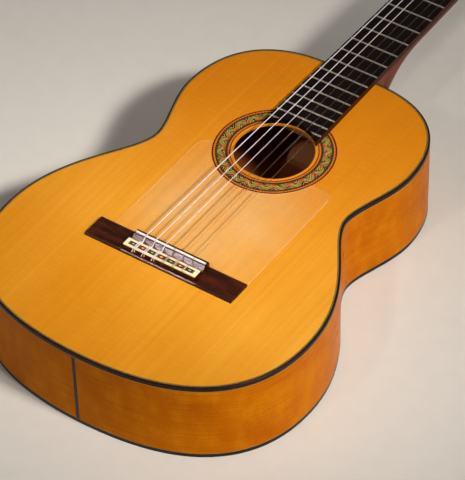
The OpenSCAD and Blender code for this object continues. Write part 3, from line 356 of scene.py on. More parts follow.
tile_noise = rosette.node("ShaderNodeTexWhiteNoise", {"noise_dimensions": "2D"}, {
    "Vector": rosette.joined(tile_angle, tile_height, 0.0)}, "Value")
mosaic = rosette.blend(tile_noise > 0.94, mosaic, leaf)
red_mark = (from_mark < RED_HALF) * (zigzag > RED_LOW) * (zigzag < RED_HIGH) * (tile_height > RED_FOOT)
mosaic = rosette.blend(red_mark, mosaic, brick)
rims = (radius < MOSAIC_IN + RIM) + (radius > MOSAIC_OUT - RIM)
mosaic = rosette.blend(rims, mosaic, leaf)
mosaic = rosette.blend(tile_noise * 0.25, mosaic, tint(150, 140, 110), "MULTIPLY")


def between(low, high):
    """A ring of the rosette, as a mask."""
    return (radius > low) * (radius < high)


dash = (angle * (DASHES / 360) + radius * DASH_SLANT).math("FRACT")
ring = rosette.blend(dash > 0.5, amber, amber_dark)
for low, high in BLACK_RINGS:
    ring = rosette.blend(between(low, high) * (dash < DASH_SHARE), ring, ink)
for low, high in LEAF_RINGS:
    ring = rosette.blend(between(low, high), ring, leaf)
ring = rosette.blend(between(MOSAIC_IN, MOSAIC_OUT), ring, mosaic)
grain = rosette.noise(rosette.place(), (1.4, 1.4, 0), 2.0)
rosette.put(
    base_color=ring, roughness=rosette.step(grain, 0.3, 0.7, 0.26, 0.4),
    normal=rosette.bump(tile_noise * 0.6 + grain * 0.4, 0.015, 0.3))
dress(rosette, "rosette")

# %% [markdown]
# The tap plate is a clear sheet that saves the soundboard from finger taps. It is nearly invisible flat
# on, apart from a haze in its middle that fades outwards, partly wear and partly a painted sheen, and its
# cut edges are drawn pale and half opaque as a painted highlight. Its outline has two rounded corners and
# an arc that clears the rosette, so a flat face gets those corners, is pulled up into a sheet and has its
# top edge broken. The sheet lies a hair above the wood, because two faces in one plane would flicker.

# %% Clear tap plate
PLATE_BASS, PLATE_TREBLE, PLATE_LOW, PLATE_HIGH = -72.0, 86.0, SADDLE_Y + 4.9, SADDLE_Y + 157.0
PLATE_CORNER, PLATE_ARC = 12.0, 63.9
PLATE_FLOOR, PLATE_TOP, PLATE_BREAK = BODY_DEPTH + 0.03, BODY_DEPTH + 0.6, 0.15
HAZE_X, HAZE_Y, HAZE_FULL, HAZE_END = 4, -266, 20.0, 105.0
CORNER_STEPS, ARC_STEPS = 10, 72


def arc(middle, radius, first, last, steps):
    """Points of an arc, with angles in degrees."""
    turns = [math.radians(first + (last - first) * i / steps) for i in range(steps + 1)]
    return [Vector((middle[0] + radius * math.cos(a), middle[1] + radius * math.sin(a))) for a in turns]


sheet = Finish("clear_sheet", specular_ior_level=1.0)
level = abs(sheet.facing()[2])
x, y, _ = sheet.split(sheet.place(location=(-HAZE_X, -HAZE_Y, 0)))
# The haze in the middle is partly wear and partly painted sheen; faces that are not flat are made pale and
# half opaque as a painted highlight.
wear_and_painted_sheen = sheet.step((x * x + y * y).math("SQRT"), HAZE_FULL, HAZE_END, 0.16, 0.04)
haze = sheet.noise(sheet.place(), (0.03, 0.03, 0.03), 3.0)
scuffs = sheet.noise(sheet.place(), (0.9, 0.12, 0.2), 4.0)
sheet.put(
    base_color=sheet.blend(level > 0.5, tint(255, 240, 214), tint(255, 238, 175)),
    roughness=sheet.step(scuffs, 0.4, 0.8, 0.1, 0.24),
    alpha=sheet.step(level, 0.3, 0.7, 0.5, 0.0) + wear_and_painted_sheen * sheet.step(haze, 0.3, 0.7, 0.75, 1.15))
reach = math.degrees(math.asin((PLATE_HIGH - HOLE_Y) / PLATE_ARC))
line = [Vector((PLATE_BASS, PLATE_LOW)), Vector((PLATE_TREBLE, PLATE_LOW))]
line += arc((PLATE_TREBLE - PLATE_CORNER, PLATE_HIGH - PLATE_CORNER), PLATE_CORNER, 0, 90, CORNER_STEPS)
line += arc((0, HOLE_Y), PLATE_ARC, reach, -180 - reach, ARC_STEPS)
line += arc((PLATE_BASS + PLATE_CORNER, PLATE_HIGH - PLATE_CORNER), PLATE_CORNER, 90, 180, CORNER_STEPS)
shape = bmesh.new()
face = shape.faces.new([shape.verts.new((p.x * MM, p.y * MM, PLATE_FLOOR * MM)) for p in line])
raised = bmesh.ops.extrude_face_region(shape, geom=[face])["geom"]
upper = points_of(raised)
bmesh.ops.translate(shape, verts=upper, vec=(0, 0, (PLATE_TOP - PLATE_FLOOR) * MM))
bmesh.ops.recalc_face_normals(shape, faces=shape.faces)
brink = [e for e in shape.edges if all(v in upper for v in e.verts)]
break_edges(shape, brink, PLATE_BREAK, 2)
add_piece("clear_tap_plate", shape, sheet, "guitar", ["tap_plate"])

# %% [markdown]
# The sides are two strips of pale wood, bent over a hot pipe. Their grain runs along the strip and
# follows the bend, which no flat pattern can do. So the outline is sampled as one fine line, each point
# remembers how far along the strip it is, and the finish reads that distance.

# %% The body's outline
BODY_CURVES = (
    ((0, 0), (129, 0), (180, 55), (180, 136)),
    ((180, 136), (180, 220), (116.5, 262), (116.5, 297)),
    ((116.5, 297), (116.5, 319), (136, 351), (136, 383)),
    ((136, 383), (136, 456), (87.75, 485), (31.75, 485)))
NECK_CORNER = BODY_CURVES[-1][-1][0]
CURVE_POINTS = 56


def half_line(tail_x, neck_x):
    """Treble half of the outline, from near the tail's middle to near the neck's middle."""
    line = [Vector((tail_x, TAIL_Y))]
    for curve in BODY_CURVES:
        for point in interpolate_bezier(*(Vector(p) for p in curve), CURVE_POINTS)[1:]:
            line.append(Vector((point.x, TAIL_Y + point.y)))
    if neck_x < line[-1].x:
        line.append(Vector((neck_x, line[-1].y)))
    return line


def mirrored(line):
    return [Vector((-p.x, p.y)) for p in line]


def inward(line, closed):
    """Unit vectors that point into the body from each point of a line that runs anticlockwise."""
    count = len(line)
    found = []
    for i in range(count):
        before = line[i - 1] if closed else line[max(i - 1, 0)]
        after = line[(i + 1) % count] if closed else line[min(i + 1, count - 1)]
        run = (after - before).normalized()
        found.append(Vector((-run.y, run.x)))
    return found


def edge_strip(shape, line, near, far, low, high, closed=False, edge=0.0, run_start=0.0):
    """Adds a strip that follows the line, from near to far inside it and from low to high."""
    run = shape.verts.layers.float.get("run") or shape.verts.layers.float.new("run")
    ways = inward(line, closed)
    outer = []
    length = run_start
    for i, (point, way) in enumerate(zip(line, ways)):
        spot = point + way * near
        length += (point - line[i - 1]).length if i else 0.0
        corner = shape.verts.new((spot.x * MM, spot.y * MM, high * MM))
        corner[run] = length
        outer.append(corner)
    count = len(outer)
    last = count if closed else count - 1
    edges = [shape.edges.new((outer[i], outer[(i + 1) % count])) for i in range(last)]
    made = bmesh.ops.extrude_edge_only(shape, edges=edges)["geom"]
    inner = set(points_of(made))
    faces = [f for f in made if isinstance(f, bmesh.types.BMFace)]
    for corner, way in zip(outer, ways):
        for link in corner.link_edges:
            other = link.other_vert(corner)
            if other in inner:
                other.co += Vector((way.x, way.y, 0)) * (far - near) * MM
    lower = bmesh.ops.extrude_face_region(shape, geom=faces)["geom"]
    bmesh.ops.translate(shape, verts=points_of(lower), vec=(0, 0, (low - high) * MM))
    bmesh.ops.recalc_face_normals(shape, faces=shape.faces)
    if edge:
        break_edges(shape, [e for e in edges if e.is_valid], edge, 3)


outline_length = sum((b - a).length for a, b in zip(half_line(0, 0), half_line(0, 0)[1:]))
print("half of the outline is", round(outline_length, 1), "mm long")

# %% [markdown]
# The side wood is pale cypress under amber lacquer: fine straight grain along the strip, a soft mottle
# across it, and small pores. The same finish serves the back, where the grain runs along the body. The
# bass side starts at another run, so that the two sides don't show the same figure.

# %% Amber lacquered side wood
def side_finish(name, along, across, depth, warm, deep):
    finish = Finish(name, specular_ior_level=0.02, specular_tint=(1.0, 0.6, 0.2, 1.0))
    spot = finish.joined(along(finish), across(finish), depth)
    grain = finish.noise(spot, (0.012, 0.9, 0.02), 3.0)
    mottle = finish.noise(spot, (0.05, 0.028, 0.02), 3.0)
    flecks = finish.noise(spot, (0.35, 1.3, 0.05), 2.0)
    cloud = finish.noise(spot, (0.009, 0.012, 0.01), 2.0)
    colour = finish.blend(finish.step(cloud, 0.3, 0.7), warm, deep)
    colour = finish.blend(finish.step(mottle, 0.42, 0.7, 0.0, 0.45), colour, tint(217, 136, 11))
    colour = finish.blend(finish.step(grain, 0.42, 0.75, 0.0, 0.55), colour, tint(150, 66, 2))
    colour = finish.blend(finish.step(flecks, 0.52, 0.72, 0.0, 0.5), colour, tint(140, 60, 4))
    finish.put(
        base_color=colour, roughness=finish.step(mottle, 0.3, 0.7, 0.26, 0.38),
        normal=finish.bump(grain * 0.5 + flecks * 0.5, 0.02, 0.35))
    return finish


side_wood = side_finish(
    "amber_side_wood", lambda f: f.trait("run"), lambda f: f.split(f.place())[2], 0.0,
    tint(198, 112, 4), tint(181, 95, 2))
BINDING_HIGH = 4.5
SIDE_LOW, SIDE_HIGH, SIDE_THICK = BINDING_HIGH, BODY_DEPTH - BINDING_HIGH, 2.2
SIDE_TAIL, SIDE_NECK = 2.0, 11.0
BASS_RUN = 2000.0
for side, name in ((1, "treble"), (-1, "bass")):
    shape = bmesh.new()
    line = half_line(SIDE_TAIL, SIDE_NECK)
    if side < 0:
        line = mirrored(line)[::-1]
    start = 0.0 if side > 0 else BASS_RUN
    edge_strip(shape, line, 0.0, SIDE_THICK, SIDE_LOW, SIDE_HIGH, run_start=start)
    add_piece(f"bent_side_{name}", shape, side_wood, "guitar", [f"side_{name}"])

# %% [markdown]
# Dark bindings close the edges where plates and sides meet, and thin lines beside them, the purfling,
# hide the joints. They are strips along the same outline. The bindings' outer edges are rounded, since
# this is where an arm and a leg rest, and a rounded edge is what catches the long highlight.

# %% Bindings and purfling
BINDING_ROUND = 0.9
NECK_HALF = 29.75
STRIP_GAP = 0.05


def rosewood(name, dark, red, pale, along, turn=(0, 0, 0), gloss=0.34, shine=0.3):
    finish = Finish(name, specular_ior_level=shine, specular_tint=(1.0, 0.72, 0.66, 1.0))
    spot = finish.place(rotation=turn)
    streak = finish.noise(spot, along, 4.0, 0.6)
    fine = finish.noise(spot, tuple(a * 7 for a in along), 3.0)
    pores = finish.noise(spot, tuple(a * 22 for a in along), 1.0)
    colour = finish.blend(finish.step(streak, 0.38, 0.66), dark, red)
    colour = finish.blend(finish.step(fine, 0.5, 0.72, 0.0, 0.5), colour, pale)
    colour = finish.blend(finish.step(pores, 0.6, 0.7, 0.0, 0.6), colour, dark)
    finish.put(
        base_color=colour, roughness=finish.step(fine, 0.3, 0.7, gloss * 0.8, gloss * 1.3),
        normal=finish.bump(fine * 0.4 - finish.step(pores, 0.58, 0.68), 0.03, 0.4))
    return finish


binding_wood = rosewood(
    "dark_binding", tint(12, 5, 6), tint(34, 14, 16), tint(52, 26, 28), (0.22, 0.02, 0.22))
top_line = half_line(0.0, NECK_HALF)
top_line = top_line[::-1] + mirrored(top_line)[1:]
back_line = half_line(0.0, NECK_CORNER)
back_line = mirrored(back_line)[::-1] + back_line[1:]
shape = bmesh.new()
edge_strip(
    shape, top_line[::-1], 0.0, SIDE_THICK, BODY_DEPTH - BINDING_HIGH, BODY_DEPTH, edge=BINDING_ROUND)
edge_strip(shape, back_line, 0.0, SIDE_THICK, 0.0, BINDING_HIGH, closed=True)
tail_line = [Vector((SIDE_TAIL * i / 2, TAIL_Y)) for i in range(-2, 3)]
edge_strip(
    shape, tail_line, 0.0, SIDE_THICK, BINDING_HIGH + STRIP_GAP, BODY_DEPTH - BINDING_HIGH - STRIP_GAP)
add_piece("edge_bindings", shape, binding_wood, "guitar", ["bindings"])

dark_line = Finish("dark_line", specular_ior_level=0.25)
moss_line = Finish("moss_line", specular_ior_level=0.25)
for finish, dark, pale in ((dark_line, tint(22, 14, 12), tint(52, 34, 26)),
                           (moss_line, tint(126, 104, 46), tint(170, 146, 78))):
    fibre = finish.noise(finish.place(), (0.4, 0.4, 0.4), 3.0)
    finish.put(
        base_color=finish.blend(fibre, dark, pale), roughness=finish.step(fibre, 0.3, 0.7, 0.28, 0.42))
PROUD = 0.04
PURFLING_DEEP, LINE_HIGH = 0.8, 0.6
for name, finish, near, far in (
        ("purfling_moss_outer", moss_line, 2.2, 2.65), ("purfling_dark_outer", dark_line, 2.65, 3.05),
        ("purfling_moss_inner", moss_line, 3.05, 3.35), ("purfling_dark_inner", dark_line, 3.35, 3.6)):
    shape = bmesh.new()
    edge_strip(shape, top_line[::-1], near, far, BODY_DEPTH - PURFLING_DEEP, BODY_DEPTH + PROUD)
    add_piece(name, shape, finish, "guitar")
shape = bmesh.new()
edge_strip(
    shape, top_line[::-1], -PROUD, PURFLING_DEEP, BODY_DEPTH - BINDING_HIGH - LINE_HIGH,
    BODY_DEPTH - BINDING_HIGH)
edge_strip(shape, back_line, -PROUD, PURFLING_DEEP, BINDING_HIGH, BINDING_HIGH + LINE_HIGH, closed=True)
add_piece("side_purfling", shape, moss_line, "guitar")

# %% [markdown]
# The back is the same pale wood as the sides, in two mirrored halves. Inside the body the wood is bare
# and darker: the face that looks up into the soundhole is reddish brown, which is what the hole shows.

# %% Back and inner woods
back_wood = side_finish(
    "amber_back_wood", lambda f: f.split(f.place())[1], lambda f: abs(f.split(f.place())[0]), 7.0,
    tint(214, 122, 10), tint(198, 104, 4))
up = back_wood.facing()[2]
bare = back_wood.noise(back_wood.place(), (0.3, 0.01, 0.1), 4.0)
bare = back_wood.blend(bare, tint(124, 58, 26), tint(164, 88, 46))
back_wood.put(base_color=back_wood.blend(up > 0.5, back_wood.so_far("Base Color"), bare))
dress(back_wood, "back")

inside = Finish("bare_inside_wood", specular_ior_level=0.2)
spot = inside.place()
stripe = inside.noise(spot, (0.3, 0.02, 0.3), 4.0)
saw = inside.noise(spot, (0.1, 0.6, 0.6), 2.0)
tone = inside.blend(inside.step(stripe, 0.3, 0.7), tint(150, 100, 58), tint(190, 140, 88))
inside.put(
    base_color=inside.blend(inside.step(saw, 0.5, 0.75, 0.0, 0.3), tone, tint(112, 70, 40)),
    roughness=inside.step(saw, 0.3, 0.7, 0.55, 0.72),
    normal=inside.bump(stripe * 0.5 + saw * 0.5, 0.05, 0.5))
dress(inside, "tail_block", "linings", "top_braces", "back_braces")

# %% [markdown]
# The neck and head are lacquered cedar: reddish brown with long brown streaks. The heel cap and the
# head's veneer are dark wood like the bindings. The head tilts back, so its grain is turned with it by a
# Mapping node. Inside the body, below the joint, the neck's block is bare and paler.

# %% Neck, head and veneer
HEAD_TILT = math.radians(15)
RAW_FROM, RAW_FULL = JOINT_Y - 0.5, JOINT_Y - 2.0


def cedar(name, turn):
    finish = Finish(
        name, specular_ior_level=0.1, specular_tint=(1.0, 0.62, 0.45, 1.0), coat_weight=0.03,
        coat_roughness=0.15)
    spot = finish.place(rotation=turn)
    streak = finish.noise(spot, (0.16, 0.008, 0.16), 4.0)
    pores = finish.noise(spot, (2.4, 0.09, 2.4), 1.0)
    tone = finish.blend(finish.step(streak, 0.32, 0.7), tint(82, 30, 9), tint(116, 50, 16))
    raw = finish.step(finish.split(spot)[1], RAW_FROM, RAW_FULL)
    tone = finish.blend(raw, tone, tint(196, 128, 84))
    tone = finish.blend(finish.step(pores, 0.58, 0.7, 0.0, 0.55), tone, tint(70, 32, 16))
    finish.put(
        base_color=tone, roughness=finish.step(streak, 0.3, 0.7, 0.28, 0.4),
        normal=finish.bump(1 - finish.step(pores, 0.58, 0.7), 0.03, 0.35))
    return finish


dress(cedar("lacquered_cedar", (0, 0, 0)), "neck", round_edges=0.4)
dress(cedar("lacquered_cedar_head", (HEAD_TILT, 0, 0)), "headstock", round_edges=0.6)
veneer = rosewood(
    "head_veneer", tint(22, 9, 6), tint(60, 24, 14), tint(88, 42, 24), (0.2, 0.012, 0.2), (HEAD_TILT, 0, 0))
dress(veneer, "head_plate", round_edges=0.4)
dress(binding_wood, "heel_cap", round_edges=0.5)

# %% [markdown]
# The fingerboard is near-black wood, oiled and dry to the eye, and its side faces are a warmer brown as
# a painted highlight. The frets are nickel silver: brighter along the crown, partly where strings polish
# them and partly as a painted highlight, and darker at the foot as painted shade. Nut and saddle are
# bone, cream with faint darker veins.

# %% Fingerboard, frets and bone
board = rosewood(
    "dark_fingerboard", tint(8, 4, 3), tint(18, 9, 7), tint(34, 19, 14), (0.35, 0.012, 0.35),
    gloss=0.46, shine=0.12)
# Painted highlight: faces that look sideways get a warmer brown.
wear_and_painted_sheen = board.step(abs(board.facing()[0]), 0.9, 0.98, 0.0, 0.7)
board.put(base_color=board.blend(wear_and_painted_sheen, board.so_far("Base Color"), tint(72, 30, 8)))
dress(board, "fingerboard", round_edges=0.25)

fret_metal = Finish("worn_fret_metal", metallic=0.9)
spot = fret_metal.place()
filed = fret_metal.noise(spot, (0.3, 6.0, 6.0), 3.0)
foot = BODY_DEPTH + BOARD_HIGH + 0.1
# The crown is brighter partly from polish and partly as a painted highlight; the darker foot is painted
# shade.
polish_and_highlight_share = fret_metal.step(fret_metal.split(spot)[2], foot, foot + 1.0)
shaded_foot_to_bright_crown = fret_metal.blend(polish_and_highlight_share, tint(104, 96, 82), tint(226, 220, 206))
fret_metal.put(
    base_color=fret_metal.blend(filed * 0.35, shaded_foot_to_bright_crown, tint(120, 104, 84)),
    roughness=fret_metal.step(filed, 0.3, 0.7, 0.2, 0.34), normal=fret_metal.bump(filed, 0.01, 0.3))
dress(fret_metal, "frets")


def bone(name, light, dark):
    finish = Finish(name, coat_weight=0.1, coat_roughness=0.2)
    spot = finish.place()
    veins = finish.noise(spot, (0.06, 0.5, 0.5), 5.0, 0.6)
    pits = finish.noise(spot, (1.6, 3.0, 3.0), 1.0)
    cream = finish.blend(finish.step(veins, 0.4, 0.7), light, dark)
    finish.put(
        base_color=finish.blend(finish.step(pits, 0.66, 0.75, 0.0, 0.4), cream, tint(170, 140, 96)),
        roughness=finish.step(veins, 0.3, 0.7, 0.28, 0.42),
        normal=finish.bump(veins - pits * 0.5, 0.015, 0.3))
    return finish


dress(bone("white_bone", tint(255, 250, 244), tint(240, 226, 206)), "nut", "saddle", round_edges=0.25)
dress(bone("cream_bone", tint(250, 234, 198), tint(236, 208, 156)), "tie_block_trim", round_edges=0.25)

# %% [markdown]
# The bridge is rosewood with red-brown streaks along its length, polished in the middle and duller on its
# wings. On top of its tie block a bone frame holds a strip of mosaic: seven tiles in dark frames, by
# turns green and red, each with a lozenge. The strip is a thin slab with rounded rims, and its tiles are
# drawn by the finish.

# %% Bridge and its mosaic strip
WING_FROM, WING_FULL, WING_DULL = 43, 46, 0.3
TIE_FRONT, TIE_BACK, TIE_TOP, TIE_HOLE = 10.5, 20.9, 9.4, 5.0
bridge_wood = rosewood(
    "streaked_bridge_wood", tint(24, 5, 1), tint(68, 20, 2), tint(116, 52, 8), (0.016, 0.22, 0.22),
    gloss=0.15, shine=0.25)
on_wing = bridge_wood.step(abs(bridge_wood.split(bridge_wood.place())[0]), WING_FROM, WING_FULL)
bridge_wood.put(
    specular_tint=(1.0, 0.86, 0.88, 1.0), roughness=bridge_wood.so_far("Roughness") + on_wing * WING_DULL)
dress(bridge_wood, "bridge", round_edges=0.35)

STRIP_HALF, STRIP_WIDE = 39.0, 5.0
STRIP_Y = SADDLE_Y - (TIE_FRONT + TIE_BACK) / 2
STRIP_LOW, STRIP_HIGH = BODY_DEPTH + TIE_TOP - 0.4, BODY_DEPTH + TIE_TOP - 0.04
STRIP_TILES, STRIP_RIM = 7, 0.12
FRAME_PALE, FRAME_DARK, FRAME_BONE = 0.66, 0.72, 0.86
strip = Finish("tie_block_mosaic", specular_ior_level=0.3)
x, y, _ = strip.split(strip.place(location=(STRIP_HALF, -STRIP_Y, 0)))
tile = x * (STRIP_TILES / (2 * STRIP_HALF))
along = abs(tile.math("FRACT") - 0.5) * 2
across = abs(y) * (2 / STRIP_WIDE)
odd = (tile * 0.5).math("FRACT") < 0.5
lozenge = strip.step(along + across, 0.56, 0.62, 1.0, 0.0)
core = strip.step(along + across, 0.34, 0.4, 1.0, 0.0)
field = strip.blend(odd, tint(34, 10, 6), tint(12, 18, 16))
field = strip.blend(lozenge, field, strip.blend(odd, tint(206, 64, 32), tint(52, 92, 74)))
field = strip.blend(core, field, strip.blend(odd, tint(240, 190, 150), tint(206, 196, 128)))
field = strip.blend((along > FRAME_PALE) * (along < FRAME_DARK), field, tint(190, 168, 110))
field = strip.blend((along > FRAME_DARK) * (along < FRAME_BONE), field, ink)
field = strip.blend(along > FRAME_BONE, field, tint(232, 214, 170))
fibre = strip.noise(strip.place(), (0.4, 2.0, 1.0), 2.0)
strip.put(
    base_color=strip.blend(fibre * 0.25, field, tint(60, 40, 20), "MULTIPLY"),
    roughness=strip.step(fibre, 0.3, 0.7, 0.26, 0.4), normal=strip.bump(fibre, 0.01, 0.2))
shape = bmesh.new()
bmesh.ops.create_cube(shape, size=1.0)
size = Vector((2 * STRIP_HALF, STRIP_WIDE, STRIP_HIGH - STRIP_LOW)) * MM
middle = Vector((0, STRIP_Y, (STRIP_LOW + STRIP_HIGH) / 2)) * MM
bmesh.ops.scale(shape, vec=size, verts=shape.verts)
bmesh.ops.translate(shape, vec=middle, verts=shape.verts)
rims = [e for e in shape.edges if all(v.co.z > middle.z for v in e.verts)]
break_edges(shape, rims, STRIP_RIM, 2)
add_piece("tie_block_mosaic", shape, strip, "guitar")

# %% [markdown]
# Each string is one length: a tail behind the tie block, two strands over it, the knot in front, through
# the hole, over the saddle and the nut, and round its roller. The three basses are wound with silver
# wire, the trebles are clear nylon. A string is drawn as a route of points, rounded at its corners, and a
# ring of points is pushed along it.

# %% A tube along a route
TUBE_SIDES = 10


def rounded(route):
    """Cuts the corners of a route, so that it bends as a string does."""
    cut = [route[0]]
    for a, b in zip(route, route[1:]):
        share = min(0.25, 0.8 / max((b - a).length, 0.001))
        cut += [a.lerp(b, share), b.lerp(a, share)]
    return cut + [route[-1]]


def loop_edges(ring):
    """The edges that join neighbours on a ring of points."""
    return list({e for v in ring for e in v.link_edges if all(w in ring for w in e.verts)})


def tube(route, radius):
    """A round tube along a route, and its length."""
    shape = bmesh.new()
    run = shape.verts.layers.float.new("run")
    points = [p * MM for p in route]
    steps = [(b - a).normalized() for a, b in zip(points, points[1:])]
    ways = [steps[0]] + [(a + b).normalized() for a, b in zip(steps, steps[1:])] + [steps[-1]]
    turn = Vector((0, 0, 1)).rotation_difference(ways[0]).to_matrix().to_4x4()
    ring = bmesh.ops.create_circle(
        shape, segments=TUBE_SIDES, radius=radius * MM, cap_ends=False,
        matrix=Matrix.Translation(points[0]) @ turn)["verts"]
    first = list(ring)
    length = 0.0
    for i in range(1, len(points)):
        ring = points_of(bmesh.ops.extrude_edge_only(shape, edges=loop_edges(ring))["geom"])
        bend = ways[i - 1].rotation_difference(ways[i]).to_matrix()
        bmesh.ops.rotate(shape, verts=ring, cent=points[i - 1], matrix=bend)
        bmesh.ops.translate(shape, verts=ring, vec=points[i] - points[i - 1])
        length += (points[i] - points[i - 1]).length / MM
        for v in ring:
            v[run] = length
    for end in (first, ring):
        bmesh.ops.contextual_create(shape, geom=loop_edges(end))
    bmesh.ops.recalc_face_normals(shape, faces=shape.faces)
    return shape, length


# %% [markdown]
# The places that a string passes are those of the construction: its hole and knot at the tie block, the
# crest of the saddle, its slot in the nut, and the tangent onto its roller in the tilted head.

# %% The strings' routes
STRING_DIAMETERS = (0.71, 0.82, 1.02, 0.74, 0.89, 1.09)
CLEAR = 0.15
NUT_THICK, NUT_OVER_FRETS = 5.0, 0.6
HEAD_Y, HEAD_Z = NUT_Y + NUT_THICK, 97.588
NUT_STRING_Z = BODY_DEPTH + BOARD_HIGH + FRET_HIGH + NUT_OVER_FRETS
SADDLE_SPREAD, NUT_SPREAD = 57.5, 41.5
FIRST_ROLLER, ROLLER_STEP, TUNER_DEPTH = 47, 35, -11.5
ROLLER_RADIUS, WRAP_GAP = 5.0, 0.3
WRAP_DEGREES, WRAP_STEP = 160, 8
HEAD_BAR_HALF, WRAP_PLACES = 7.5, (11.5, 8.0, 5.5)
SADDLE_CREST = 10.5
STRAND_SPREAD, KNOT_SPREAD = 1.8, 3.4


def string_radius(n):
    return STRING_DIAMETERS[n - 1] / 2


def string_x(n, spread):
    return spread * (3.5 - n) / 5


def string_side(n):
    return 1 if n <= TREBLES else -1


def tuner_row(n):
    return n - 1 if n <= TREBLES else 6 - n


def roller_u(n):
    return FIRST_ROLLER + ROLLER_STEP * tuner_row(n)


def in_head(x, u, w):
    """A place in the tilted head: u along its face from the nut, w above the face."""
    cosine, sine = math.cos(HEAD_TILT), math.sin(HEAD_TILT)
    return Vector((x, HEAD_Y + u * cosine + w * sine, HEAD_Z - u * sine + w * cosine))


def on_roller(n, degrees, radius, x):
    a = math.radians(degrees)
    u, w = roller_u(n) + radius * math.sin(a), TUNER_DEPTH + radius * math.cos(a)
    return in_head(string_side(n) * x, u, w)


def over_block(x, r):
    """A strand over the tie block, from its back to its front."""
    reach = r + CLEAR
    back, front, top = SADDLE_Y - TIE_BACK, SADDLE_Y - TIE_FRONT, BODY_DEPTH + TIE_TOP
    turns = [math.radians(a) for a in range(0, 91, 15)]
    rise = [(x, back - reach * math.cos(a), top + reach * math.sin(a)) for a in turns]
    return rise + [(x, front + reach * math.cos(a), top + reach * math.sin(a)) for a in reversed(turns)]


def tied_end(n):
    """The tail, one strand over the tie block, the knot, the strand back and the way into the hole."""
    r, x = string_radius(n), string_x(n, SADDLE_SPREAD)
    s, k = STRAND_SPREAD / 2, KNOT_SPREAD / 2
    front, behind = SADDLE_Y - TIE_FRONT + r + CLEAR, SADDLE_Y - TIE_BACK - r - CLEAR
    top, hole = BODY_DEPTH + TIE_TOP, BODY_DEPTH + TIE_HOLE
    tail = [(x - s - 0.9, behind - 1.6, top - 3.4), (x - s - 0.45, behind - 0.53, top - 1.7)]
    knot = [(x - k, front, hole - 0.22), (x - k / 2, front, hole - 1.1),
            (x + k / 2, front, hole - 1.1), (x + k, front, hole - 0.22)]
    entry = [(x + s / 2, behind, hole + 1.6), (x, behind, hole + 0.8), (x, behind + 0.32, hole + 0.2),
             (x, behind + 1.07, hole), (x, SADDLE_Y - TIE_FRONT - 0.5, hole)]
    route = tail + over_block(x - s, r) + knot + over_block(x + s, r)[::-1] + entry
    return rounded([Vector(p) for p in route])


def touch_degrees(n):
    """The angle at which a string from the nut first touches its roller."""
    rise = NUT_STRING_Z + string_radius(n) + CLEAR - HEAD_Z
    du = -NUT_THICK * math.cos(HEAD_TILT) - rise * math.sin(HEAD_TILT) - roller_u(n)
    dw = -NUT_THICK * math.sin(HEAD_TILT) + rise * math.cos(HEAD_TILT) - TUNER_DEPTH
    lean = math.acos((ROLLER_RADIUS + WRAP_GAP + string_radius(n)) / math.hypot(du, dw))
    return math.degrees(math.atan2(du, dw) + lean)


def wrap_x(n):
    return HEAD_BAR_HALF + WRAP_PLACES[tuner_row(n)]


def string_route(n):
    r, x = string_radius(n), string_x(n, SADDLE_SPREAD)
    crest = BODY_DEPTH + SADDLE_CREST + r + CLEAR
    over = [Vector((x, SADDLE_Y - 1.2, crest - 0.5)), Vector((x, SADDLE_Y, crest)),
            Vector((string_x(n, NUT_SPREAD), NUT_Y, NUT_STRING_Z + r + CLEAR))]
    start = touch_degrees(n)
    wrap = [on_roller(n, start + a, ROLLER_RADIUS + WRAP_GAP + r, wrap_x(n))
            for a in range(0, WRAP_DEGREES + 1, WRAP_STEP)]
    return tied_end(n) + over + wrap


# %% [markdown]
# Wound strings show the turns of their wire as fine rings: a bump, with the grooves between turns
# darkened as painted shade. The rings follow the distance along the string, which each point of the tube
# carries.

# %% String finishes and pieces
nylon = Finish("clear_nylon", transmission_weight=1.0, ior=1.5)
run = nylon.trait("run")
milky = nylon.noise(nylon.joined(run, 0.0, 0.0), (0.08, 0, 0), 2.0)
nylon.put(
    base_color=nylon.blend(milky, tint(246, 236, 220), tint(255, 248, 238)),
    roughness=nylon.step(milky, 0.3, 0.7, 0.06, 0.16))

silver = Finish("wound_silver", metallic=0.3)
run = silver.trait("run")
WIRE = 0.22
coil = (run * (2 * math.pi / WIRE)).math("SINE") * 0.5 + 0.5
tarnish = silver.noise(silver.joined(run, 0.0, 0.0), (0.02, 0, 0), 3.0)
bright = silver.blend(silver.step(tarnish, 0.35, 0.7), tint(246, 242, 252), tint(222, 216, 226))
# The grooves between turns are darkened as painted shade.
silver.put(
    base_color=silver.blend(silver.step(coil, 0.0, 0.35, 0.25, 0.0), bright, tint(150, 146, 150)),
    roughness=silver.step(tarnish, 0.3, 0.7, 0.24, 0.38), normal=silver.bump(coil, 0.03, 0.35))


def string_finish(n):
    return (nylon, "nylon") if n <= TREBLES else (silver, "wound_silver")


for n in STRINGS:
    shape, length = tube(string_route(n), string_radius(n))
    finish, slot = string_finish(n)
    add_piece(f"tied_string_{n}", shape, finish, "guitar", [f"string_{n}"])
    print("string", n, "is", round(length), "mm long")

# %% [markdown]
# The turns on a roller belong to the same string, but they go round with the roller. So they are pieces
# of their own that ride on the roller's body.

# %% Turns of string on the rollers
COIL_START, COIL_TURNS, COIL_STEP, COIL_DIVE = 200, 2, 10, 8
COIL_GAP, COIL_OFFSET = 0.45, 0.3


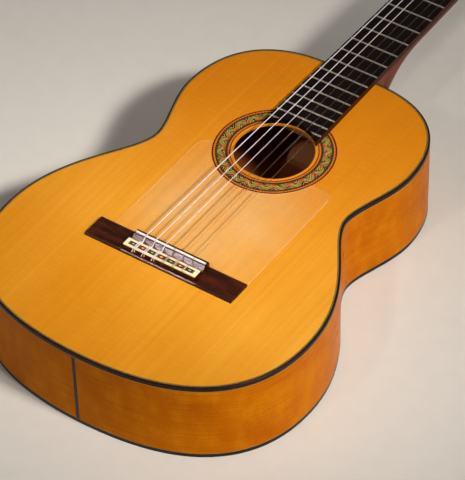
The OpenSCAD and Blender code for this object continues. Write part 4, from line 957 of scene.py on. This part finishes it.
def winding_route(n):
    r = string_radius(n)
    way = -1 if tuner_row(n) == 0 else 1
    pitch = 2 * r + COIL_GAP
    first = wrap_x(n) + way * (2 * r + COIL_OFFSET)
    radius = ROLLER_RADIUS + CLEAR + r
    route = [on_roller(n, COIL_START + a, radius, first + way * pitch * a / 360)
             for a in range(0, 360 * COIL_TURNS + 1, COIL_STEP)]
    last, x = COIL_START + 360 * COIL_TURNS + COIL_DIVE, first + way * pitch * COIL_TURNS
    return route + [on_roller(n, last, radius - r, x), on_roller(n, last, ROLLER_RADIUS - 1, x),
                    on_roller(n, last, ROLLER_RADIUS - 1 - 2 * r, x)]


for n in STRINGS:
    shape, _ = tube(winding_route(n), string_radius(n))
    finish, slot = string_finish(n)
    add_piece(f"string_turns_{n}", shape, finish, f"drum_{n}", [f"winding_{n}"])

# %% [markdown]
# The tuning machines are brass: plates, worms and gears, polished, with browner patches of tarnish. The
# rollers are turned cream plastic and the buttons are mottled like mother of pearl.

# %% Tuning machines
brass = Finish("polished_brass", metallic=1.0)
spot = brass.place()
patina = brass.noise(spot, (0.12, 0.12, 0.12), 4.0)
brushed = brass.noise(spot, (3.0, 0.4, 3.0), 2.0)
shine = brass.blend(brass.step(patina, 0.35, 0.7), tint(226, 190, 110), tint(186, 142, 70))
brass.put(
    base_color=shine, roughness=brass.step(patina + brushed * 0.4, 0.4, 1.0, 0.2, 0.42),
    normal=brass.bump(brushed, 0.01, 0.25))
dress(brass, "tuner_plate_bass", "tuner_plate_treble", round_edges=0.2)
dress(brass, *(f"gear_{n}" for n in STRINGS))
dress(brass, *(f"worm_{n}" for n in STRINGS))

cream = Finish("turned_cream")
spot = cream.place()
lathe = cream.noise(spot, (3.0, 0.2, 0.2), 2.0)
cream.put(
    base_color=cream.blend(lathe, tint(232, 222, 196), tint(214, 198, 164)),
    roughness=cream.step(lathe, 0.3, 0.7, 0.34, 0.5), normal=cream.bump(lathe, 0.02, 0.3))
dress(cream, *(f"roller_{n}" for n in STRINGS))

pearl = Finish("mottled_pearl", coat_weight=0.4, coat_roughness=0.06)
spot = pearl.place()
swirl = pearl.noise(spot, (0.35, 0.35, 0.35), 4.0, 0.6)
flake = pearl.node("ShaderNodeTexVoronoi", None, {
    "Vector": pearl.mapped(spot, scale=(0.5, 0.5, 0.2)), "Scale": 1.0})
shell = pearl.blend(pearl.step(swirl, 0.35, 0.68), tint(246, 240, 226), tint(206, 190, 158))
pearl.put(
    base_color=pearl.blend(pearl.step(flake, 0.1, 0.9, 0.0, 0.35), shell, tint(226, 206, 176)),
    roughness=pearl.step(swirl, 0.3, 0.7, 0.16, 0.3), normal=pearl.bump(swirl, 0.03, 0.2))
dress(pearl, *(f"button_{n}" for n in STRINGS), round_edges=0.3)

# %% [markdown]
# Eight small wood screws hold the two plates. A screw's head is a dome with a slot: a profile is spun
# round its axis, two cuts mark the slot, and the faces between them are pushed in.

# %% Slotted screws
HEAD_HALF, TUNER_THICK = 35, 1.3
SEAT = HEAD_HALF + TUNER_THICK
DOME_RADIUS, DOME_TALL, DOME_RIM, SHANK_RADIUS, SHANK_LONG, SHANK_TIP = 2.1, 1.2, 0.35, 1.0, 9.0, 0.8
SLOT_HALF, SLOT_DEEP = 0.28, 0.55
TUNER_LOW, TUNER_HIGH, SCREW_INSET, SCREW_PAST_ROLLER = 26, 138, 4.5, 14
SCREW_PLACES = (
    TUNER_LOW + SCREW_INSET, FIRST_ROLLER + SCREW_PAST_ROLLER,
    FIRST_ROLLER + ROLLER_STEP + SCREW_PAST_ROLLER, TUNER_HIGH - SCREW_INSET)


def slotted_screw(side, u, turn):
    shape = bmesh.new()
    tip = HEAD_HALF - SHANK_LONG
    profile = [(tip, 0.0), (tip + SHANK_TIP, SHANK_RADIUS), (SEAT, SHANK_RADIUS),
               (SEAT, DOME_RADIUS), (SEAT + DOME_RIM, DOME_RADIUS), (SEAT + 0.8, DOME_RADIUS * 0.86),
               (SEAT + 1.08, DOME_RADIUS * 0.55), (SEAT + DOME_TALL, 0.0)]
    corners = [shape.verts.new((x * MM, 0, r * MM)) for x, r in profile]
    edges = [shape.edges.new(pair) for pair in zip(corners, corners[1:])]
    bmesh.ops.spin(
        shape, geom=corners + edges, cent=(0, 0, 0), axis=(1, 0, 0), angle=2 * math.pi, steps=20,
        use_merge=True)
    bmesh.ops.remove_doubles(shape, verts=shape.verts, dist=0.001 * MM)
    bmesh.ops.recalc_face_normals(shape, faces=shape.faces)
    for cut in (-SLOT_HALF, SLOT_HALF):
        bmesh.ops.bisect_plane(
            shape, geom=shape.verts[:] + shape.edges[:] + shape.faces[:], plane_co=(0, cut * MM, 0),
            plane_no=(0, 1, 0))
    between_cuts = []
    for face in shape.faces:
        middle = face.calc_center_median() / MM
        if middle.x > SEAT + DOME_RIM + 0.01 and abs(middle.y) < SLOT_HALF:
            between_cuts.append(face)
    pushed = bmesh.ops.extrude_face_region(shape, geom=between_cuts)["geom"]
    bmesh.ops.delete(shape, geom=between_cuts, context="FACES_ONLY")
    bmesh.ops.translate(shape, verts=points_of(pushed), vec=(-SLOT_DEEP * MM, 0, 0))
    bmesh.ops.recalc_face_normals(shape, faces=shape.faces)
    turns = [(turn, "X"), (0.0 if side > 0 else math.pi, "Z"), (-HEAD_TILT, "X")]
    for angle, axis in turns:
        bmesh.ops.rotate(shape, verts=shape.verts, cent=(0, 0, 0), matrix=Matrix.Rotation(angle, 3, axis))
    bmesh.ops.translate(shape, verts=shape.verts, vec=in_head(0, u, TUNER_DEPTH) * MM)
    return shape


together = bmesh.new()
for i, u in enumerate(SCREW_PLACES):
    for side in (1, -1):
        one = slotted_screw(side, u, math.radians(37 + 51 * i + 20 * side))
        mesh = bpy.data.meshes.new("screw")
        one.to_mesh(mesh)
        one.free()
        together.from_mesh(mesh)
        bpy.data.meshes.remove(mesh)
add_piece("slotted_screws", together, brass, "guitar", ["tuner_screws"])

# %% [markdown]
# The guitar lies on its back on a plain pale floor. The main light stands at the treble side at half
# height, so each string drops a thin shadow towards the bass side. A second one in the same direction is
# wide and stands three times as far off, so that it lights the floor evenly. The small ones give the
# slope behind the saddle its sheen, show the inside of the body through the soundhole and light the head.

# %% Floor and light
def area_light(name, place, aim, size, watts, colour, spread=180):
    lamp = bpy.data.lights.new(name, "AREA")
    lamp.size = size
    lamp.energy = watts
    lamp.color = colour
    lamp.spread = math.radians(spread)
    holder = bpy.data.objects.new(name, lamp)
    holder.location = place
    holder.rotation_euler = (Vector(aim) - Vector(place)).to_track_quat("-Z", "Y").to_euler()
    scene.collection.objects.link(holder)


MAIN_PLACE, MAIN_SIZE, WARM = (1.69, -0.42, 1.73), 0.28, (1.0, 0.93, 0.84)
FURTHER = 3
area_light("main", MAIN_PLACE, (-0.04, -0.31, 0.09), MAIN_SIZE, 1.22, WARM, 26)
area_light("main_wide", Vector(MAIN_PLACE) * FURTHER, (0, 0, 0), MAIN_SIZE * FURTHER, 99, WARM, 140)
area_light("tail_side", (-0.05, -1.15, 1.2), (0.03, -0.17, 0.09), 0.08, 0.08, WARM, 30)
area_light("bass_side", (-0.83, -1.645, 1.32), (0, -0.343, 0.104), 0.17, 0.03, (1.0, 0.92, 0.95), 12)
area_light("far_side", (-1.1, 1.35, 2.0), (0, -0.2, 0.1), 0.4, 0.14, (0.95, 0.94, 1.0))
area_light("head_side", (0.45, 0.7, 1.25), (0, 0.44, 0.07), 0.3, 0.25, WARM, 40)
world = bpy.data.worlds.new("pale_room")
world.use_nodes = True
world.node_tree.nodes["Background"].inputs["Color"].default_value = (1.0, 0.96, 0.9, 1)
world.node_tree.nodes["Background"].inputs["Strength"].default_value = 0.2
scene.world = world
scene.view_settings.view_transform = "Standard"
print("lamps:", len(bpy.data.lights))

FLOOR_HALF, FLOOR_GAP = 6.0, 0.2
floor_shape = bmesh.new()
bmesh.ops.create_grid(floor_shape, x_segments=1, y_segments=1, size=FLOOR_HALF)
bmesh.ops.translate(floor_shape, verts=floor_shape.verts, vec=(0.0, 0.0, -FLOOR_GAP * MM))
floor_mesh = bpy.data.meshes.new("floor")
floor_shape.to_mesh(floor_mesh)
floor_shape.free()
floor = bpy.data.objects.new("floor", floor_mesh)
pale = Finish("pale_floor", roughness=0.8)
speck = pale.noise(pale.place(), (0.05, 0.05, 0.05), 3.0)
pale.put(base_color=pale.blend(speck, tint(214, 212, 208), tint(222, 220, 216)))
floor_mesh.materials.append(pale.material)
scene.collection.objects.link(floor)

# %% [markdown]
# The camera stands where the photograph was taken, found by fitting the frets, the soundhole, the bridge
# and the body's edges to their places in the picture.

# %% Camera
CAMERA_PLACE = (1.2264, -1.93907, 2.0470)
CAMERA_TURN, CAMERA_TILT, CAMERA_ROLL = math.radians(35.74), math.radians(46.18), math.radians(-1.63)
lens = bpy.data.cameras.new("camera")
lens.lens = 216.3
lens.sensor_width = 36.0
lens.clip_end = 50.0
camera = bpy.data.objects.new("camera", lens)
camera.matrix_world = (
    Matrix.Translation(CAMERA_PLACE) @ Matrix.Rotation(CAMERA_TURN, 4, "Z")
    @ Matrix.Rotation(CAMERA_TILT, 4, "X") @ Matrix.Rotation(CAMERA_ROLL, 4, "Z"))
scene.collection.objects.link(camera)
scene.camera = camera
print("the camera is", round(Vector(CAMERA_PLACE).length, 2), "m from the guitar's middle")
